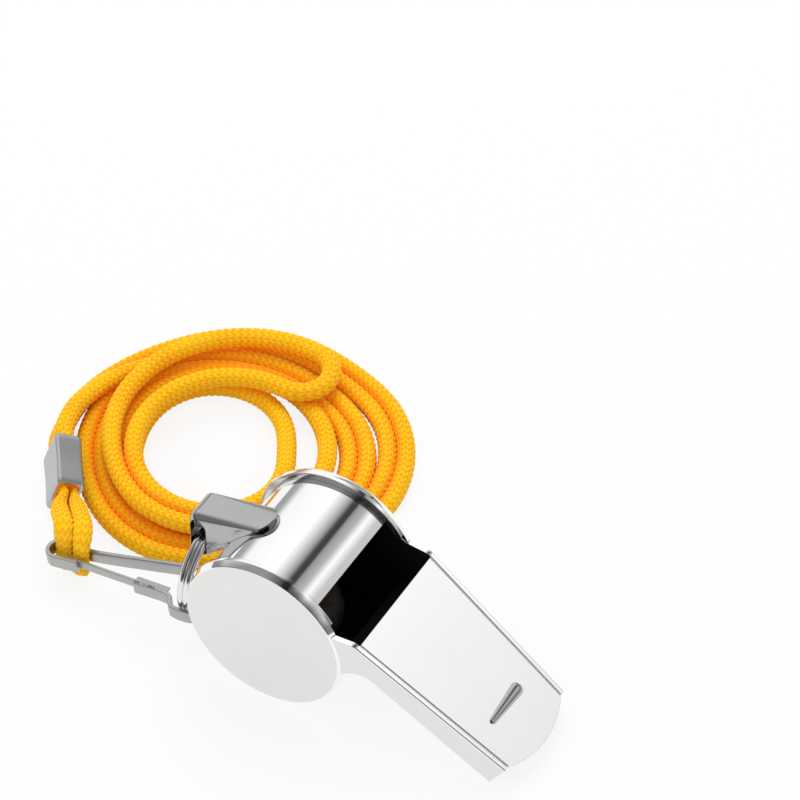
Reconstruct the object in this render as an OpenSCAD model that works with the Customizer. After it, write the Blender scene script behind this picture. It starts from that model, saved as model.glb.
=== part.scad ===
// Sports whistle with its lanyard, standing on its drum rims and its mouthpiece tip.
// Millimetres, +Z up, the surface at z = 0. The origin is under the middle of the whistle and its tab.
// Shapes of the whistle are drawn in its own frame: +X to the mouthpiece tip, +Y to the far
// side, +Z through the roof, with the drum's axis at the origin. stand() sets them down.

/* [Drum] */
// Radius of the side plates
disc_r = 12; // [9:0.5:16]
// Width over both side plates, as a share of their radius
width_share = 1.72; // [1.4:0.01:2]
// How far the barrel lies inside the plates' edge
barrel_inset = 1; // [0.6:0.1:1.6]
// Thickness of the barrel's sheet
barrel_t = 0.8; // [0.5:0.1:1.2]
// Thickness of a side plate
plate_t = 0.8; // [0.5:0.1:1.2]
// Depth of a side plate's turned rim
rim_w = 1.55; // [1.2:0.05:2.2]

/* [Mouthpiece] */
// From the drum's axis to the end of the mouthpiece walls
tip_x = 34.4; // [31:0.2:40]
// How far the lip, where the roof starts, lies inside the drum's edge
lip_inset = 2.6; // [1.6:0.1:3.6]
// How far the roof's top lies below the drum's edge
roof_drop = 0.2; // [0:0.05:0.8]
// Height of the mouthpiece over its walls at the tip
mouth_h = 4.3; // [3.8:0.1:5.2]
// Width over the walls at the tip
tip_w = 15.9; // [13:0.1:17.4]
// Thickness of the roof
roof_t = 0.8; // [0.5:0.1:1]
// How far the roof's rounded end stands past the walls
roof_bulge = 1.9; // [1:0.1:2.6]
// Length of the bite rib
rib_l = 8.2; // [5:0.2:10]

/* [Window] */
// Angle of the barrel's blade edge, from the mouthpiece up
blade_angle = 80; // [74:1:86]
// Height of the air slit under the lip
slit_h = 1; // [0.8:0.1:1.4]

/* [Pea] */
// Diameter of the cork pea, as a share of the chamber's
pea_share = 0.54; // [0.42:0.01:0.6]

/* [Ring and its tab] */
// Angle of the tab's eye, from the mouthpiece round over the top
eye_angle = 197; // [192:1:200]
// From the drum's edge to the middle of the eye
eye_reach = 2.5; // [2.2:0.1:3.4]
// Width of the tab along the drum's axis
tab_w = 5.2; // [4:0.2:9]
// Thickness of the tab's sheet
tab_t = 0.6; // [0.4:0.1:0.8]
// Thickness of the ring's wire
wire_d = 1; // [0.8:0.05:1.1]

/* [Clip] */
// From the ring's wire to the middle of the clip's nose
clip_l = 21.4; // [19:0.1:26]
// Height of the clip's strip
strip_h = 1.9; // [1.8:0.1:3]
// Thickness of the clip's strip
strip_t = 0.6; // [0.4:0.05:0.7]
// Radius of the nose, at the middle of its strip
nose_r = 1.6; // [1.5:0.1:2]
// Thickness of the gate's spring strip
gate_t = 0.4; // [0.3:0.05:0.5]
// How far below the ring's middle the clip holds the ring
hook_drop = 1.55; // [1:0.05:2]
// Height of the clip's middle at its nose
nose_z = 3.9; // [3.8:0.1:5]

/* [Lanyard] */
// Diameter of the knitted cord
cord_d = 2.5; // [2.2:0.1:2.6]
// Radius of the coil, at the middle of its outermost cord
coil_r = 26; // [24:0.2:30]
// Turns of the doubled cord on the lower layer
turns_in = 2.2; // [2:0.05:2.3]
// Length of the ferrule
ferrule_l = 9.4; // [7:0.2:12]
// Width of the ferrule
ferrule_w = 3.9; // [3:0.1:4.2]

/* [Hidden] */
$fn = 96;
steel = [0.78, 0.79, 0.8];
grey_steel = [0.62, 0.62, 0.63];
cork = [0.76, 0.6, 0.42];
yellow = [1, 0.68, 0.08];

// Drum
whistle_w = width_share * disc_r;
barrel_r = disc_r - barrel_inset;
chamber_r = barrel_r - barrel_t;
barrel_mid_r = barrel_r - barrel_t / 2;
inner_w = whistle_w - 2 * plate_t;
solder_gap = 0.03;
rim_end_angle = 66;
rim_open_angle = 4;
neck_angle = 26;
band_end_angle = 24;
pea_gap = 0.3;
pea_d = 2 * pea_share * chamber_r;
pea_offset = chamber_r - pea_d / 2 - pea_gap;

// Mouthpiece: where its walls leave the disc, in shares of the disc's radius
lip_x = disc_r - lip_inset;
roof_z = disc_r - roof_drop;
wall_neck_x = 0.6 * disc_r;
wall_step = 0.3;
rim_step = 0.05;
wall_neck_y = whistle_w / 2 - wall_step;
neck_dip_shares = [0.52, 0.84];
neck_corner_shares = [0.885, 0.43];
neck_bend_shares = [[0.94, 0.535], [1.02, 0.635]];
floor_start_share = 1.115;
neck_lap = [1.6, 0.5];
lip_round = 0.9;
lip_drop = 0.3;
floor_rise = 0.7;
taper = atan2(wall_neck_y - tip_w / 2, tip_x - wall_neck_x);
wall_tip_x = wall_neck_x + (tip_x - wall_neck_x) / cos(taper);
tip_low_z = roof_z - mouth_h;
neck_inset = 0.55;
slit_back = 0.3;
slit_run = 6;
windway_t = 0.6;
windway_lap = 0.15;
windway_clear = 0.25;
rib_share = 0.79;
rib_r = 0.75;
rib_h = 0.45;
rib_point_r = 0.4;
rib_point_h = 0.22;

// Resting pose: the discs and the mouthpiece tip touch the surface
tip_reach = norm([tip_x, tip_low_z]);
tilt = atan2(tip_low_z, tip_x) + asin(disc_r / tip_reach);

// Tab and ring: the ring passes through the eye and stands on the surface
eye_r = disc_r + eye_reach;
ring_x = eye_r * cos(eye_angle - tilt);
eye_z = disc_r + eye_r * sin(eye_angle - tilt);
eye_w = 2.8;
eye_back = 0.2;
eye_up = 2.3;
eye_down = 1.5;
eye_lip = 0.1;
tab_y = -0.6;
leaf_angle = -31;
leaf_r = 2.5;
leaf_h = 0.3;
leaf_sink = 0.2;
ring_r = (eye_z - wire_d / 2) / 2;
ring_z = ring_r + wire_d / 2;
turn_gap = -0.02;
coil_step = wire_d + turn_gap;
ring_split_w = 0.4;
ring_split_angles = [205, 160];

// Clip: the ring's wire crosses its middle at the pivot, and +x runs up to the drum
hook_z = ring_z - hook_drop;
hook_y = -sqrt(pow(ring_r, 2) - pow(hook_drop, 2));
clip_rise = asin((hook_z - nose_z) / clip_l);
ring_play = 0.3;
drum_gap = 0.5;
drum_back_x = -sqrt(pow(barrel_r, 2) - pow(disc_r - hook_z - strip_h / 2, 2)) - ring_x;
end_x = drum_back_x - drum_gap - strip_t / 2;
bulge_y = -wire_d / 2 - ring_play - strip_t / 2;
channel_y = 0.85;
channel_x = [-8.4, -3.2];
back_y = 6.7;
back_x = -3.4;
back_fall = 0.2;
bulge_shares = [[-0.6, 0.42], [-0.36, 0.9], [0.28, 1], [0.66, 0.72], [0.92, 0.1]];
bend_shares = [[1, 0.35], [0.88, 0.7], [0.5, 0.94], [-0.1, 1.01]];
nose_y = 2.1;
nose_back_x = 5;
nose_angles = [75, 270];
nose_steps = 12;
nose_lead = 0.1;
return_l = 3.7;
gate_gap = 0.06;
gate_y = channel_y + strip_t / 2 + gate_gap + gate_t / 2;
gate_h = 1.25;
gate_x = [-19.9, -4.2];
lip_t = (strip_h - gate_h) / 2 - gate_gap;
lip_w = 0.8;
hook_line = concat(
    [[channel_x[0], channel_y], [channel_x[1], channel_y]],
    bulge_shares * [[end_x, 0], [0, bulge_y]],
    bend_shares * [[end_x, 0], [0, back_y]],
    [[back_x, back_y - back_fall], [-clip_l + nose_back_x, nose_y + nose_r - nose_lead]],
    arc_points([-clip_l, nose_y], nose_r, nose_angles[0], nose_angles[1], nose_steps),
    [[-clip_l + return_l, channel_y]]);

// Places of the coil are given from the ring's middle, and those of the loops from the clip's
// pivot, with heights from the surface
coil_at = [ring_x, 0, 0];
loops_at = [ring_x, hook_y, 0];

// Coil: a doubled cord that winds in on the surface, climbs at its inner turn and winds out on top
coil_center = [-11.5, 24];
coil_start_angle = 197;
bight_angle = 84;
cord_gap = 0.45;
cord_pitch = cord_d + cord_gap;
climb_turns = 0.5;
layer_step = cord_pitch;
inner_dip = 0.55;
stack_rise = 0.55;
turns_all = 3 + (coil_start_angle - bight_angle) / 360;
steps_per_turn = 24;
wound_sides = 6;
free_sides = 8;
dents = [[2.4, -52, 32], [1.4, 155, 38]];
stack_turns = 0.14;
spread_turns = 0.42;
bight_spreads = [4.6, -2.2];
bight_lift = 0.5;
bight_steps = 8;

// Ferrule: a squashed sleeve that leans against the coil
ferrule_rear = [-33, 11];
ferrule_angle = -54;
ferrule_lean = 21;
ferrule_t = 0.5;
ferrule_h = 5.8;
ferrule_foot = ferrule_w / 2 * sin(ferrule_lean);
ferrule_dir = [cos(ferrule_angle), sin(ferrule_angle), 0];
ferrule_left = [-sin(ferrule_angle) * cos(ferrule_lean), cos(ferrule_angle) * cos(ferrule_lean), -sin(ferrule_lean)];
ferrule_up = cross(ferrule_dir, ferrule_left);
function in_ferrule(x, y, z) = coil_at + [ferrule_rear[0], ferrule_rear[1], ferrule_foot]
    + x * ferrule_dir + y * ferrule_left + z * ferrule_up;

// Route of the middle between the cord's two loops through the clip: x, y, z, then each cord's
// width and thickness there, and the direction of its width
strand_w = (ferrule_w - 2 * ferrule_t) / 2;
strand_h = (ferrule_h - 2 * ferrule_t) / 2;
strand_gap = 0.08;
strand_run = 1.2;
loop_gap = 0.15;
loop_route = [
    [-24.5, 9.1, 5.3, 1.5, 2.4, 35], [-23, 7.3, 6.4, 1.8, 2.3, 28], [-21.6, 5.8, 7.2, 2.1, 2.1, 19],
    [-20.5, 4.5, 7.5, 2.4, 1.8, 10], [-19.8, 3.4, 7.1, 2.6, 1.5, 3], [-19.5, 2.75, 6.3, 2.7, 1.2, 0],
    [-19.5, 2.6, 5.1, 2.7, 1.1, 0], [-19.5, 2.6, 4.1, 2.7, 1.1, 0], [-19.5, 2.5, 3.1, 2.7, 1.2, 0],
    [-19.5, 2.4, 2, 2.6, 1.4, 0], [-19.9, 2.7, 1.3, 2.4, 1.6, 4], [-20.8, 3.8, 1, 2.1, 1.6, 14],
    [-22.4, 5.5, 1.1, 1.8, 1.8, 26], [-24.8, 8.3, 1.5, 1.5, 2.1, 35]];

// Origin under the middle of the length of the whistle and its tab
roof_tip_x = (tip_x + roof_bulge) * cos(tilt) + roof_z * sin(tilt);
tab_back_x = ring_x - eye_back - eye_w / 2 - tab_t;
origin_x = (roof_tip_x + tab_back_x) / 2;

module stand() {
    translate([-origin_x, 0, disc_r]) rotate([0, tilt, 0]) children();
}

// A profile drawn in X and Z, made w wide and centred on Y = 0
module across(w) {
    translate([0, w / 2, 0]) rotate([90, 0, 0]) linear_extrude(height = w) children();
}

// A band round the drum's axis from angle a1 to a2, between two radii, from y outward by w
module arc_band(r1, r2, y, w, a1, a2) {
    translate([0, y, 0]) rotate([90, 0, 0]) rotate([0, 0, a1]) rotate_extrude(angle = a2 - a1)
        translate([r1, 0]) square([r2 - r1, w]);
}

// Outline of a bent strip, t thick, along a line of points
function side_of(pts, i) =
    let (a = pts[max(i - 1, 0)], b = pts[min(i + 1, len(pts) - 1)], d = (b - a) / norm(b - a)) [-d[1], d[0]];
module ribbon(pts, t) {
    polygon(concat(
        [for (i = [0:len(pts) - 1]) pts[i] + side_of(pts, i) * t / 2],
        [for (i = [len(pts) - 1:-1:0]) pts[i] - side_of(pts, i) * t / 2]));
}

function arc_points(c, r, a1, a2, n) = [for (i = [0:n]) let (a = a1 + (a2 - a1) * i / n) c + r * [cos(a), sin(a)]];

// Half the outer and inner width between the tapered walls, at a distance x from the axis
function wall_y(x) = wall_neck_y - (x - wall_neck_x) * tan(taper);
function wall_in_y(x) = wall_y(x) - plate_t / cos(taper);

module near_plate_shape() {
    translate([0, -inner_w / 2, 0]) rotate([90, 0, 0]) cylinder(r = disc_r, h = plate_t);
    arc_band(barrel_r + solder_gap, disc_r - rim_step, rim_w - whistle_w / 2, rim_w - plate_t / 2, rim_end_angle,
        360 + neck_angle - rim_open_angle);
    translate([wall_neck_x, -wall_neck_y, 0]) rotate([0, 0, taper]) translate([-wall_neck_x, plate_t, 0])
        rotate([90, 0, 0]) linear_extrude(height = plate_t) wall_outline();
}

// Side of the mouthpiece, from inside the disc to the tip
module wall_outline() {
    polygon([
        neck_dip_shares * disc_r - neck_lap,
        neck_dip_shares * disc_r,
        [lip_x - lip_round, roof_z - lip_drop],
        [lip_x, roof_z],
        [wall_tip_x, roof_z],
        [wall_tip_x, tip_low_z],
        [floor_start_share * disc_r, tip_low_z + floor_rise],
        neck_bend_shares[1] * disc_r,
        neck_bend_shares[0] * disc_r,
        neck_corner_shares * disc_r,
        neck_corner_shares * disc_r - neck_lap
    ]);
}

// Plan of what fits between the walls, from x1 to x2, with a clearance
module between_walls(x1, x2, gap) {
    translate([0, 0, -disc_r]) linear_extrude(height = 3 * disc_r) polygon([
        [x1, -wall_in_y(x1) + gap], [x2, -wall_in_y(x2) + gap],
        [x2, wall_in_y(x2) - gap], [x1, wall_in_y(x1) - gap]]);
}

module near_side_plate() {
    color(steel) stand() near_plate_shape();
}

module far_side_plate() {
    color(steel) stand() mirror([0, 1, 0]) near_plate_shape();
}

// The chamber's wall from the blade round the back, then up the neck and along as the floor
neck_line = [
    barrel_mid_r * [cos(band_end_angle), sin(band_end_angle)],
    neck_corner_shares * disc_r + neck_inset * [-0.3, 0.9],
    neck_bend_shares[0] * disc_r + neck_inset * [-0.7, 0.8],
    neck_bend_shares[1] * disc_r + neck_inset * [-0.5, 0.9],
    [floor_start_share * disc_r, tip_low_z + floor_rise + barrel_t / 2],
    [tip_x, tip_low_z + barrel_t / 2]
];

module barrel_band() {
    color(steel) stand() {
        arc_band(chamber_r, barrel_r, inner_w / 2, inner_w, blade_angle, 360 + band_end_angle);
        intersection() {
            across(inner_w) ribbon(neck_line, barrel_t);
            between_walls(wall_neck_x, tip_x, solder_gap);
        }
    }
}

// Roof of the air way: a flat plate with a rounded end and a rib for the teeth
module mouthpiece_roof() {
    end_y = wall_in_y(tip_x) - solder_gap;
    lip_y = wall_in_y(lip_x) - solder_gap;
    end_r = (end_y * end_y + roof_bulge * roof_bulge) / (2 * roof_bulge);
    end_a = asin(end_y / end_r);
    rib_x = lip_x + rib_share * (tip_x - lip_x);
    color(steel) stand() {
        translate([0, 0, roof_z - roof_t]) linear_extrude(height = roof_t) polygon(concat(
            [[lip_x, lip_y], [lip_x, -lip_y]],
            arc_points([tip_x + roof_bulge - end_r, 0], end_r, -end_a, end_a, 24)));
        intersection() {
            translate([rib_x, 0, roof_z + rib_h - rib_r]) hull() {
                translate([0, rib_l / 2 - rib_r, 0]) sphere(r = rib_r, $fn = 32);
                translate([0, -rib_l / 2 + rib_point_r, rib_r - rib_h + rib_point_h - rib_point_r])
                    sphere(r = rib_point_r, $fn = 32);
            }
            translate([0, -tip_w / 2, roof_z - roof_t / 2]) cube([tip_x, tip_w, roof_t + rib_h]);
        }
    }
}

// Plate that lifts the air way's floor to a slit under the lip
module windway_floor() {
    color(steel) stand() intersection() {
        across(inner_w) polygon([
            [lip_x + slit_back, roof_z - roof_t - slit_h],
            [lip_x + slit_back + slit_run, tip_low_z + floor_rise + barrel_t + windway_lap],
            [lip_x + slit_back + slit_run, tip_low_z + floor_rise + barrel_t + solder_gap],
            [floor_start_share * disc_r, tip_low_z + floor_rise + barrel_t + solder_gap + windway_clear],
            [lip_x + slit_back, roof_z - roof_t - slit_h - windway_t]]);
        between_walls(lip_x, tip_x, solder_gap);
    }
}

// Cork ball, lying at the bottom of the chamber
module pea() {
    color(cork) translate([-origin_x, 0, disc_r - pea_offset]) sphere(d = pea_d);
}

// Hood of bent sheet on the barrel's back, with an eye through it for the ring
module ring_tab() {
    eye = [ring_x - eye_back, eye_z - disc_r];
    color(steel) translate([-origin_x, tab_y, disc_r]) difference() {
        hood(eye, 0, tab_w, barrel_r + solder_gap + tab_t);
        hood(eye, tab_t, tab_w - 2 * tab_t, barrel_r - leaf_sink);
        rotate([90, 0, 0]) translate([0, 0, -tab_w]) cylinder(r = barrel_r + solder_gap, h = 2 * tab_w);
        across(2 * tab_w) hull() eye_circles(eye, tab_t + eye_lip);
    }
}

module eye_circles(eye, inset) {
    for (z = [eye_up, -eye_down]) translate(eye + [0, z]) circle(r = eye_w / 2 + tab_t - inset, $fn = 32);
}

module hood(eye, inset, w, leaf_top) {
    hull() {
        across(w) eye_circles(eye, inset);
        rotate([0, leaf_angle, 0]) translate([0, 0, leaf_top - leaf_h])
            cylinder(r = leaf_r - inset, h = leaf_h, $fn = 32);
    }
}

// Two turns of wire side by side, each cut where its end lies
module split_ring() {
    color(grey_steel) translate([ring_x - origin_x, 0, ring_z]) rotate([0, 90, 0]) for (i = [0, 1])
        translate([0, 0, (i - 0.5) * coil_step]) difference() {
            rotate_extrude() translate([ring_r, 0]) circle(d = wire_d, $fn = 24);
            rotate([0, 0, ring_split_angles[i]]) translate([0, -ring_split_w / 2, (i - 0.8) * wire_d])
                cube([2 * ring_r, ring_split_w, 0.6 * wire_d]);
        }
}

// The clip's plane: its origin is the pivot on the ring's wire, and the nose lies lower
module clip_plane() {
    translate([ring_x - origin_x, hook_y, hook_z]) rotate([0, -clip_rise, 0]) children();
}

module flat_strip(h) {
    translate([0, 0, -h / 2]) linear_extrude(height = h) children();
}

// One bent strip: channel, hook round the ring, back leg, nose and a short return along the gate
module clip_hook() {
    color(grey_steel) clip_plane() {
        flat_strip(strip_h) ribbon(hook_line, strip_t);
        for (side = [-1, 1]) translate([channel_x[0], channel_y, side * (strip_h - lip_t) / 2])
            flat_strip(lip_t) square([channel_x[1] - channel_x[0], strip_t / 2 + lip_w]);
    }
}

// Sprung strip whose free end lies in the channel
module clip_gate() {
    color(grey_steel) clip_plane() translate([gate_x[0], gate_y - gate_t / 2, 0])
        flat_strip(gate_h) square([gate_x[1] - gate_x[0], gate_t]);
}

// The ferrule's inside is filled by the squashed cord
module ferrule_box(inset, overrun) {
    translate(in_ferrule(0, 0, 0) - [origin_x, 0, 0])
        rotate([0, 0, ferrule_angle]) rotate([-ferrule_lean, 0, 0])
            translate([-overrun, inset - ferrule_w / 2, inset])
                cube([ferrule_l + 2 * overrun, ferrule_w - 2 * inset, ferrule_h - 2 * inset]);
}

module ferrule() {
    color(steel) difference() {
        ferrule_box(0, 0);
        ferrule_box(ferrule_t, ferrule_t);
    }
}

module cord_in_ferrule() {
    color(yellow) ferrule_box(ferrule_t, 0);
}

// Ring of points round a cord's middle c: travel goes along d, and its width lies along w
function ring_points(c, d, w, width, height, sides) =
    let (t = d / norm(d), u = cross(t, w), up = u / norm(u), side = cross(up, t))
    [for (i = [0:sides - 1]) let (a = 360 * i / sides)
        c + width / 2 * cos(a) * side + height / 2 * sin(a) * up];

// A closed tube through a list of rings
module tube(rings) {
    n = len(rings[0]);
    last = (len(rings) - 1) * n;
    polyhedron(
        points = [for (r = rings) each r],
        faces = concat(
            [for (i = [1:n - 2]) [0, i, i + 1]],
            [for (k = [0:len(rings) - 2], i = [0:n - 1], half = [0, 1])
                let (a = k * n + i, b = k * n + (i + 1) % n)
                half == 0 ? [a, a + n, b + n] : [a, b + n, b]],
            [for (i = [1:n - 2]) [last, last + i + 1, last + i]]));
}

function step_at(pts, i) = pts[min(i + 1, len(pts) - 1)] - pts[max(i - 1, 0)];
function xyz(p) = [p[0], p[1], p[2]];

// One loop: out of the ferrule's upper half, round the clip's back leg and into the lower half
module clip_loop(side) {
    y = side * strand_w / 2;
    low = ferrule_t + strand_h / 2;
    high = ferrule_t + strand_h * 3 / 2;
    far = ferrule_l + strand_run;
    aside = [for (p = loop_route) side * (p[3] + loop_gap) / 2 * [cos(p[5]), sin(p[5]), 0]];
    middle = [for (p = concat(
        [in_ferrule(ferrule_l, y, high), in_ferrule(far, y, high)],
        [for (i = [0:len(loop_route) - 1]) loops_at + xyz(loop_route[i]) + aside[i]],
        [in_ferrule(far, y, low), in_ferrule(ferrule_l, y, low)])) p - [origin_x, 0, 0]];
    w = strand_w - strand_gap;
    h = strand_h - strand_gap;
    forms = concat(
        [for (i = [0, 1]) [w, h, ferrule_left]],
        [for (p = loop_route) [p[3], p[4], [cos(p[5]), sin(p[5]), 0]]],
        [for (i = [0, 1]) [w, h, ferrule_left]]);
    last = len(middle) - 1;
    tube([for (i = [0:last])
        let (d = i == 0 ? ferrule_dir : i == last ? -ferrule_dir : step_at(middle, i), f = forms[i])
        ring_points(middle[i], d, f[2], f[0], f[1], free_sides)]);
}

module cord_clip_loops() {
    color(yellow) for (side = [-1, 1]) clip_loop(side);
}

// Radius and height of the outer strand after so many turns
inner_r = coil_r - 2 * cord_pitch * turns_in;
function climbed(turn) = min(max(turn - turns_in, 0), climb_turns);
function strand_r(turn) = turn < turns_in ? coil_r - 2 * cord_pitch * turn
    : inner_r - 2 * cord_pitch * (climbed(turn) - climbed(turn) * climbed(turn) / climb_turns)
        + 2 * cord_pitch * max(turn - turns_in - climb_turns, 0)
        - inner_dip * pow(sin(180 * climbed(turn) / climb_turns), 2);
function strand_z(turn) = cord_d / 2 + layer_step * pow(sin(90 * climbed(turn) / climb_turns), 2)
    + stack_rise * pow(max(1 - turn / stack_turns, 0), 2);

// Share of a bump whose middle is at one angle and that fades away on both sides of it
function bump(angle, middle, width) =
    let (off = ((angle - middle) % 360 + 540) % 360 - 180) exp(-off * off / width / width);

// Both strands: side 0 is the outer one, and side 1 lies inside it or, near the ferrule, on it
function strand_point(turn, side) =
    let (
        angle = coil_start_angle - 360 * turn,
        out = [cos(angle), sin(angle), 0],
        lean = (90 - ferrule_lean) * max(1 - turn / stack_turns, 0),
        opened = pow(sin(90 * max(1 - (turns_all - turn) / spread_turns, 0)), 2),
        dent = dents[0][0] * bump(angle, dents[0][1], dents[0][2]) + dents[1][0] * bump(angle, dents[1][1], dents[1][2]),
        r = strand_r(turn) - dent + bight_spreads[side] * opened
    )
    coil_at + [coil_center[0], coil_center[1], strand_z(turn) + bight_lift * opened] + r * out
        + side * cord_pitch * ([0, 0, sin(lean)] - cos(lean) * out);

// The whole cord of the coil, from the ferrule in and back to it
turn_steps = floor(turns_all * steps_per_turn);
strand_turns = concat([for (i = [0:turn_steps - 1]) i / steps_per_turn], [turns_all]);
bight_from = strand_point(turns_all, 0);
bight_to = strand_point(turns_all, 1);
bight_out = (bight_from - bight_to) / 2;
bight_ahead = norm(bight_out) * [sin(bight_angle), -cos(bight_angle), 0];
function entry(side, x) = in_ferrule(x, 0, ferrule_h / 2 + (side - 0.5) * cord_pitch);
coil_route = concat(
    [entry(0, 0), entry(0, -cord_d)],
    [for (t = strand_turns) strand_point(t, 0)],
    [for (i = [1:bight_steps - 1]) let (a = 180 * i / bight_steps)
        bight_to + bight_out * (1 + cos(a)) + bight_ahead * sin(a)],
    [for (i = [len(strand_turns) - 1:-1:0]) strand_point(strand_turns[i], 1)],
    [entry(1, -cord_d), entry(1, 0)]);

// Least gap of the cord to itself, on its points, and its length
route_last = len(coil_route) - 1;
skip = 3;
least_gap = min([for (i = [0:route_last - skip], k = [i + skip:route_last])
    norm(coil_route[i] - coil_route[k])]) - cord_d;
coil_length = cord_length(coil_route, route_last);
function cord_length(pts, last) = last == 0 ? 0 : norm(pts[last] - pts[last - 1]) + cord_length(pts, last - 1);

module cord_coil() {
    echo(least_gap = least_gap, coil_length = coil_length);
    up = [0, 0, 1];
    color(yellow) translate([-origin_x, 0, 0]) tube([for (i = [0:route_last])
        let (d = i == 0 ? -ferrule_dir : i == route_last ? ferrule_dir : step_at(coil_route, i))
        ring_points(coil_route[i], d, cross(d, up), cord_d, cord_d, wound_sides)]);
}

near_side_plate();
far_side_plate();
barrel_band();
mouthpiece_roof();
windway_floor();
ring_tab();
pea();
split_ring();
clip_hook();
clip_gate();
ferrule();
cord_in_ferrule();
cord_clip_loops();
cord_coil();
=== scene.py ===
# %% [markdown]
# Sports whistle with its lanyard.
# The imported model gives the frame: every piece below stands exactly where its solid stands.
# The work goes from the camera to the cords, then to the sheet metal, the wire, the cork and the light.
# Each step first says what the piece is on the real object, and then why it is made this way.

# %% Load the frame
import math
import bmesh
import bpy
import numpy as np
from mathutils import Matrix, Vector


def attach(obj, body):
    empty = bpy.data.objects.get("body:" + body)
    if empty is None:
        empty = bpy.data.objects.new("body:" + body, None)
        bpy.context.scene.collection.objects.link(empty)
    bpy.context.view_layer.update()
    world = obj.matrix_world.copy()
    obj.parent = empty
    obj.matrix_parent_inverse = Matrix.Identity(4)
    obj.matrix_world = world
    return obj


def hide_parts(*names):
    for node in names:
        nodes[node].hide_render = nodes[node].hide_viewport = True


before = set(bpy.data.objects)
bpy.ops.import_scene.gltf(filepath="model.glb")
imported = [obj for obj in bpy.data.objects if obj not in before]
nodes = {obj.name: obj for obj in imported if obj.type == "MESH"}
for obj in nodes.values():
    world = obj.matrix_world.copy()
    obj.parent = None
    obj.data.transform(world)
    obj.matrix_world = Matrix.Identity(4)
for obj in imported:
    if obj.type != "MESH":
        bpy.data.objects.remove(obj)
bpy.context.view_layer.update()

MM = 0.001

# %% [markdown]
# Sizes of the whistle, in millimetres.
# The drum's radius, the width over the plates and the place of the roof drive nearly all the rest.
# Shapes of the whistle are drawn in its own frame: X to the mouthpiece tip, Z through the roof,
# with the drum's axis at the origin. The whistle then leans until drum and tip touch the surface.

# %% Driving sizes
disc_r = 12
whistle_w = 1.72 * disc_r
barrel_inset = 1
barrel_t = 0.8
plate_t = 0.8
rim_w = 1.55
tip_x = 34.4
lip_x = disc_r - 2.6
roof_z = disc_r - 0.2
mouth_h = 4.3
tip_w = 15.9
roof_t = 0.8
roof_bulge = 1.9
eye_angle = 197
eye_r = disc_r + 2.5
wire_d = 1
eye_w, eye_back, tab_t = 2.8, 0.2, 0.6
hook_drop = 1.55
tip_low_z = roof_z - mouth_h
tip_reach = math.hypot(tip_x, tip_low_z)
tilt = math.atan2(tip_low_z, tip_x) + math.asin(disc_r / tip_reach)
eye_lean = math.radians(eye_angle) - tilt
ring_x = eye_r * math.cos(eye_lean)
eye_z = disc_r + eye_r * math.sin(eye_lean)
roof_tip_x = (tip_x + roof_bulge) * math.cos(tilt) + roof_z * math.sin(tilt)
tab_back_x = ring_x - eye_back - eye_w / 2 - tab_t
origin_x = (roof_tip_x + tab_back_x) / 2
ring_r = (eye_z - wire_d / 2) / 2
ring_z = ring_r + wire_d / 2
hook_y = -math.sqrt(ring_r ** 2 - hook_drop ** 2)
print("lean of the whistle in degrees:", round(math.degrees(tilt), 2))


def on_table(x, y, z):
    """A point given from the drum's axis, as a point of the frame, in metres."""
    return Vector((x - origin_x, y, z)) * MM


drum_axis = on_table(0, 0, disc_r)


def on_whistle(x, y, z):
    """A point of the whistle's own frame, as a point of the frame, in metres."""
    across = x * math.cos(tilt) + z * math.sin(tilt)
    return on_table(across, y, disc_r - x * math.sin(tilt) + z * math.cos(tilt))


def in_whistle(point):
    """A point of the frame in the whistle's own frame, in millimetres."""
    off = (point - drum_axis) / MM
    x = off.x * math.cos(tilt) - off.z * math.sin(tilt)
    return x, off.y, off.x * math.sin(tilt) + off.z * math.cos(tilt)

# %% [markdown]
# The camera stands high on the near side, to the right of the drum, and looks down at about
# 45 degrees with a long lens, so that the sides of the mouthpiece stay nearly parallel.
# Its place and its look were fitted to the drum, the roof and the tip of the mouthpiece.

# %% Camera
camera_place = (203.57, -326.69, 435.24)
look_azimuth, look_drop, look_roll = 30.04, 45.27, 0.43
lens_mm, sensor_mm = 194.76, 36
nearest, farthest = 0.01, 20


def linked(name, data):
    """An object of a mesh, a lamp or a camera, put into the scene."""
    made = bpy.data.objects.new(name, data)
    bpy.context.scene.collection.objects.link(made)
    return made


def aim_camera():
    """Makes the camera and sets it as the scene's own."""
    data = bpy.data.cameras.new("photo_view")
    data.lens, data.sensor_width = lens_mm, sensor_mm
    data.clip_start, data.clip_end = nearest, farthest
    camera = linked("photo_view", data)
    turn = Matrix.Rotation(math.radians(look_azimuth), 4, "Z")
    drop = Matrix.Rotation(math.radians(90 - look_drop), 4, "X")
    roll = Matrix.Rotation(math.radians(look_roll), 4, "Z")
    camera.matrix_world = Matrix.Translation(on_table(*camera_place)) @ turn @ drop @ roll
    bpy.context.scene.camera = camera
    return camera


print("camera at", list(aim_camera().location))

# %% [markdown]
# The lanyard is one long knitted cord, laid double. Both ends go into the ferrule, and the two
# strands wind in on the surface, climb at the innermost turn and wind out again on top, where
# the bight ends them. A soft cord never lies in even circles: the coil's middle drifts as it
# winds, the drum and the hand push dents into it, and the two strands part at the inner turn.
# The route could be drawn point by point. A spiral with a few named pushes and dents is easier
# to fit to what is seen, and the length of the cord follows from it.

# %% The coil's route
cord_w, cord_h = 2.85, 2.6
strand_step, layer_step = 2.5, 2.8
coil_r, wind_in, wind_out = 24.9, 4.55, 4.5
turns_in, climb_turns = 2.2, 0.5
coil_start, coil_drift = (ring_x - 10.45, 25.4), (-2.35, -3.45)
coil_start_angle, bight_angle = 197, 84
turns_all = 3 + (coil_start_angle - bight_angle) / 360
steps_per_turn = 48
stack_rise, stack_turns = 0.55, 0.14
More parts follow.
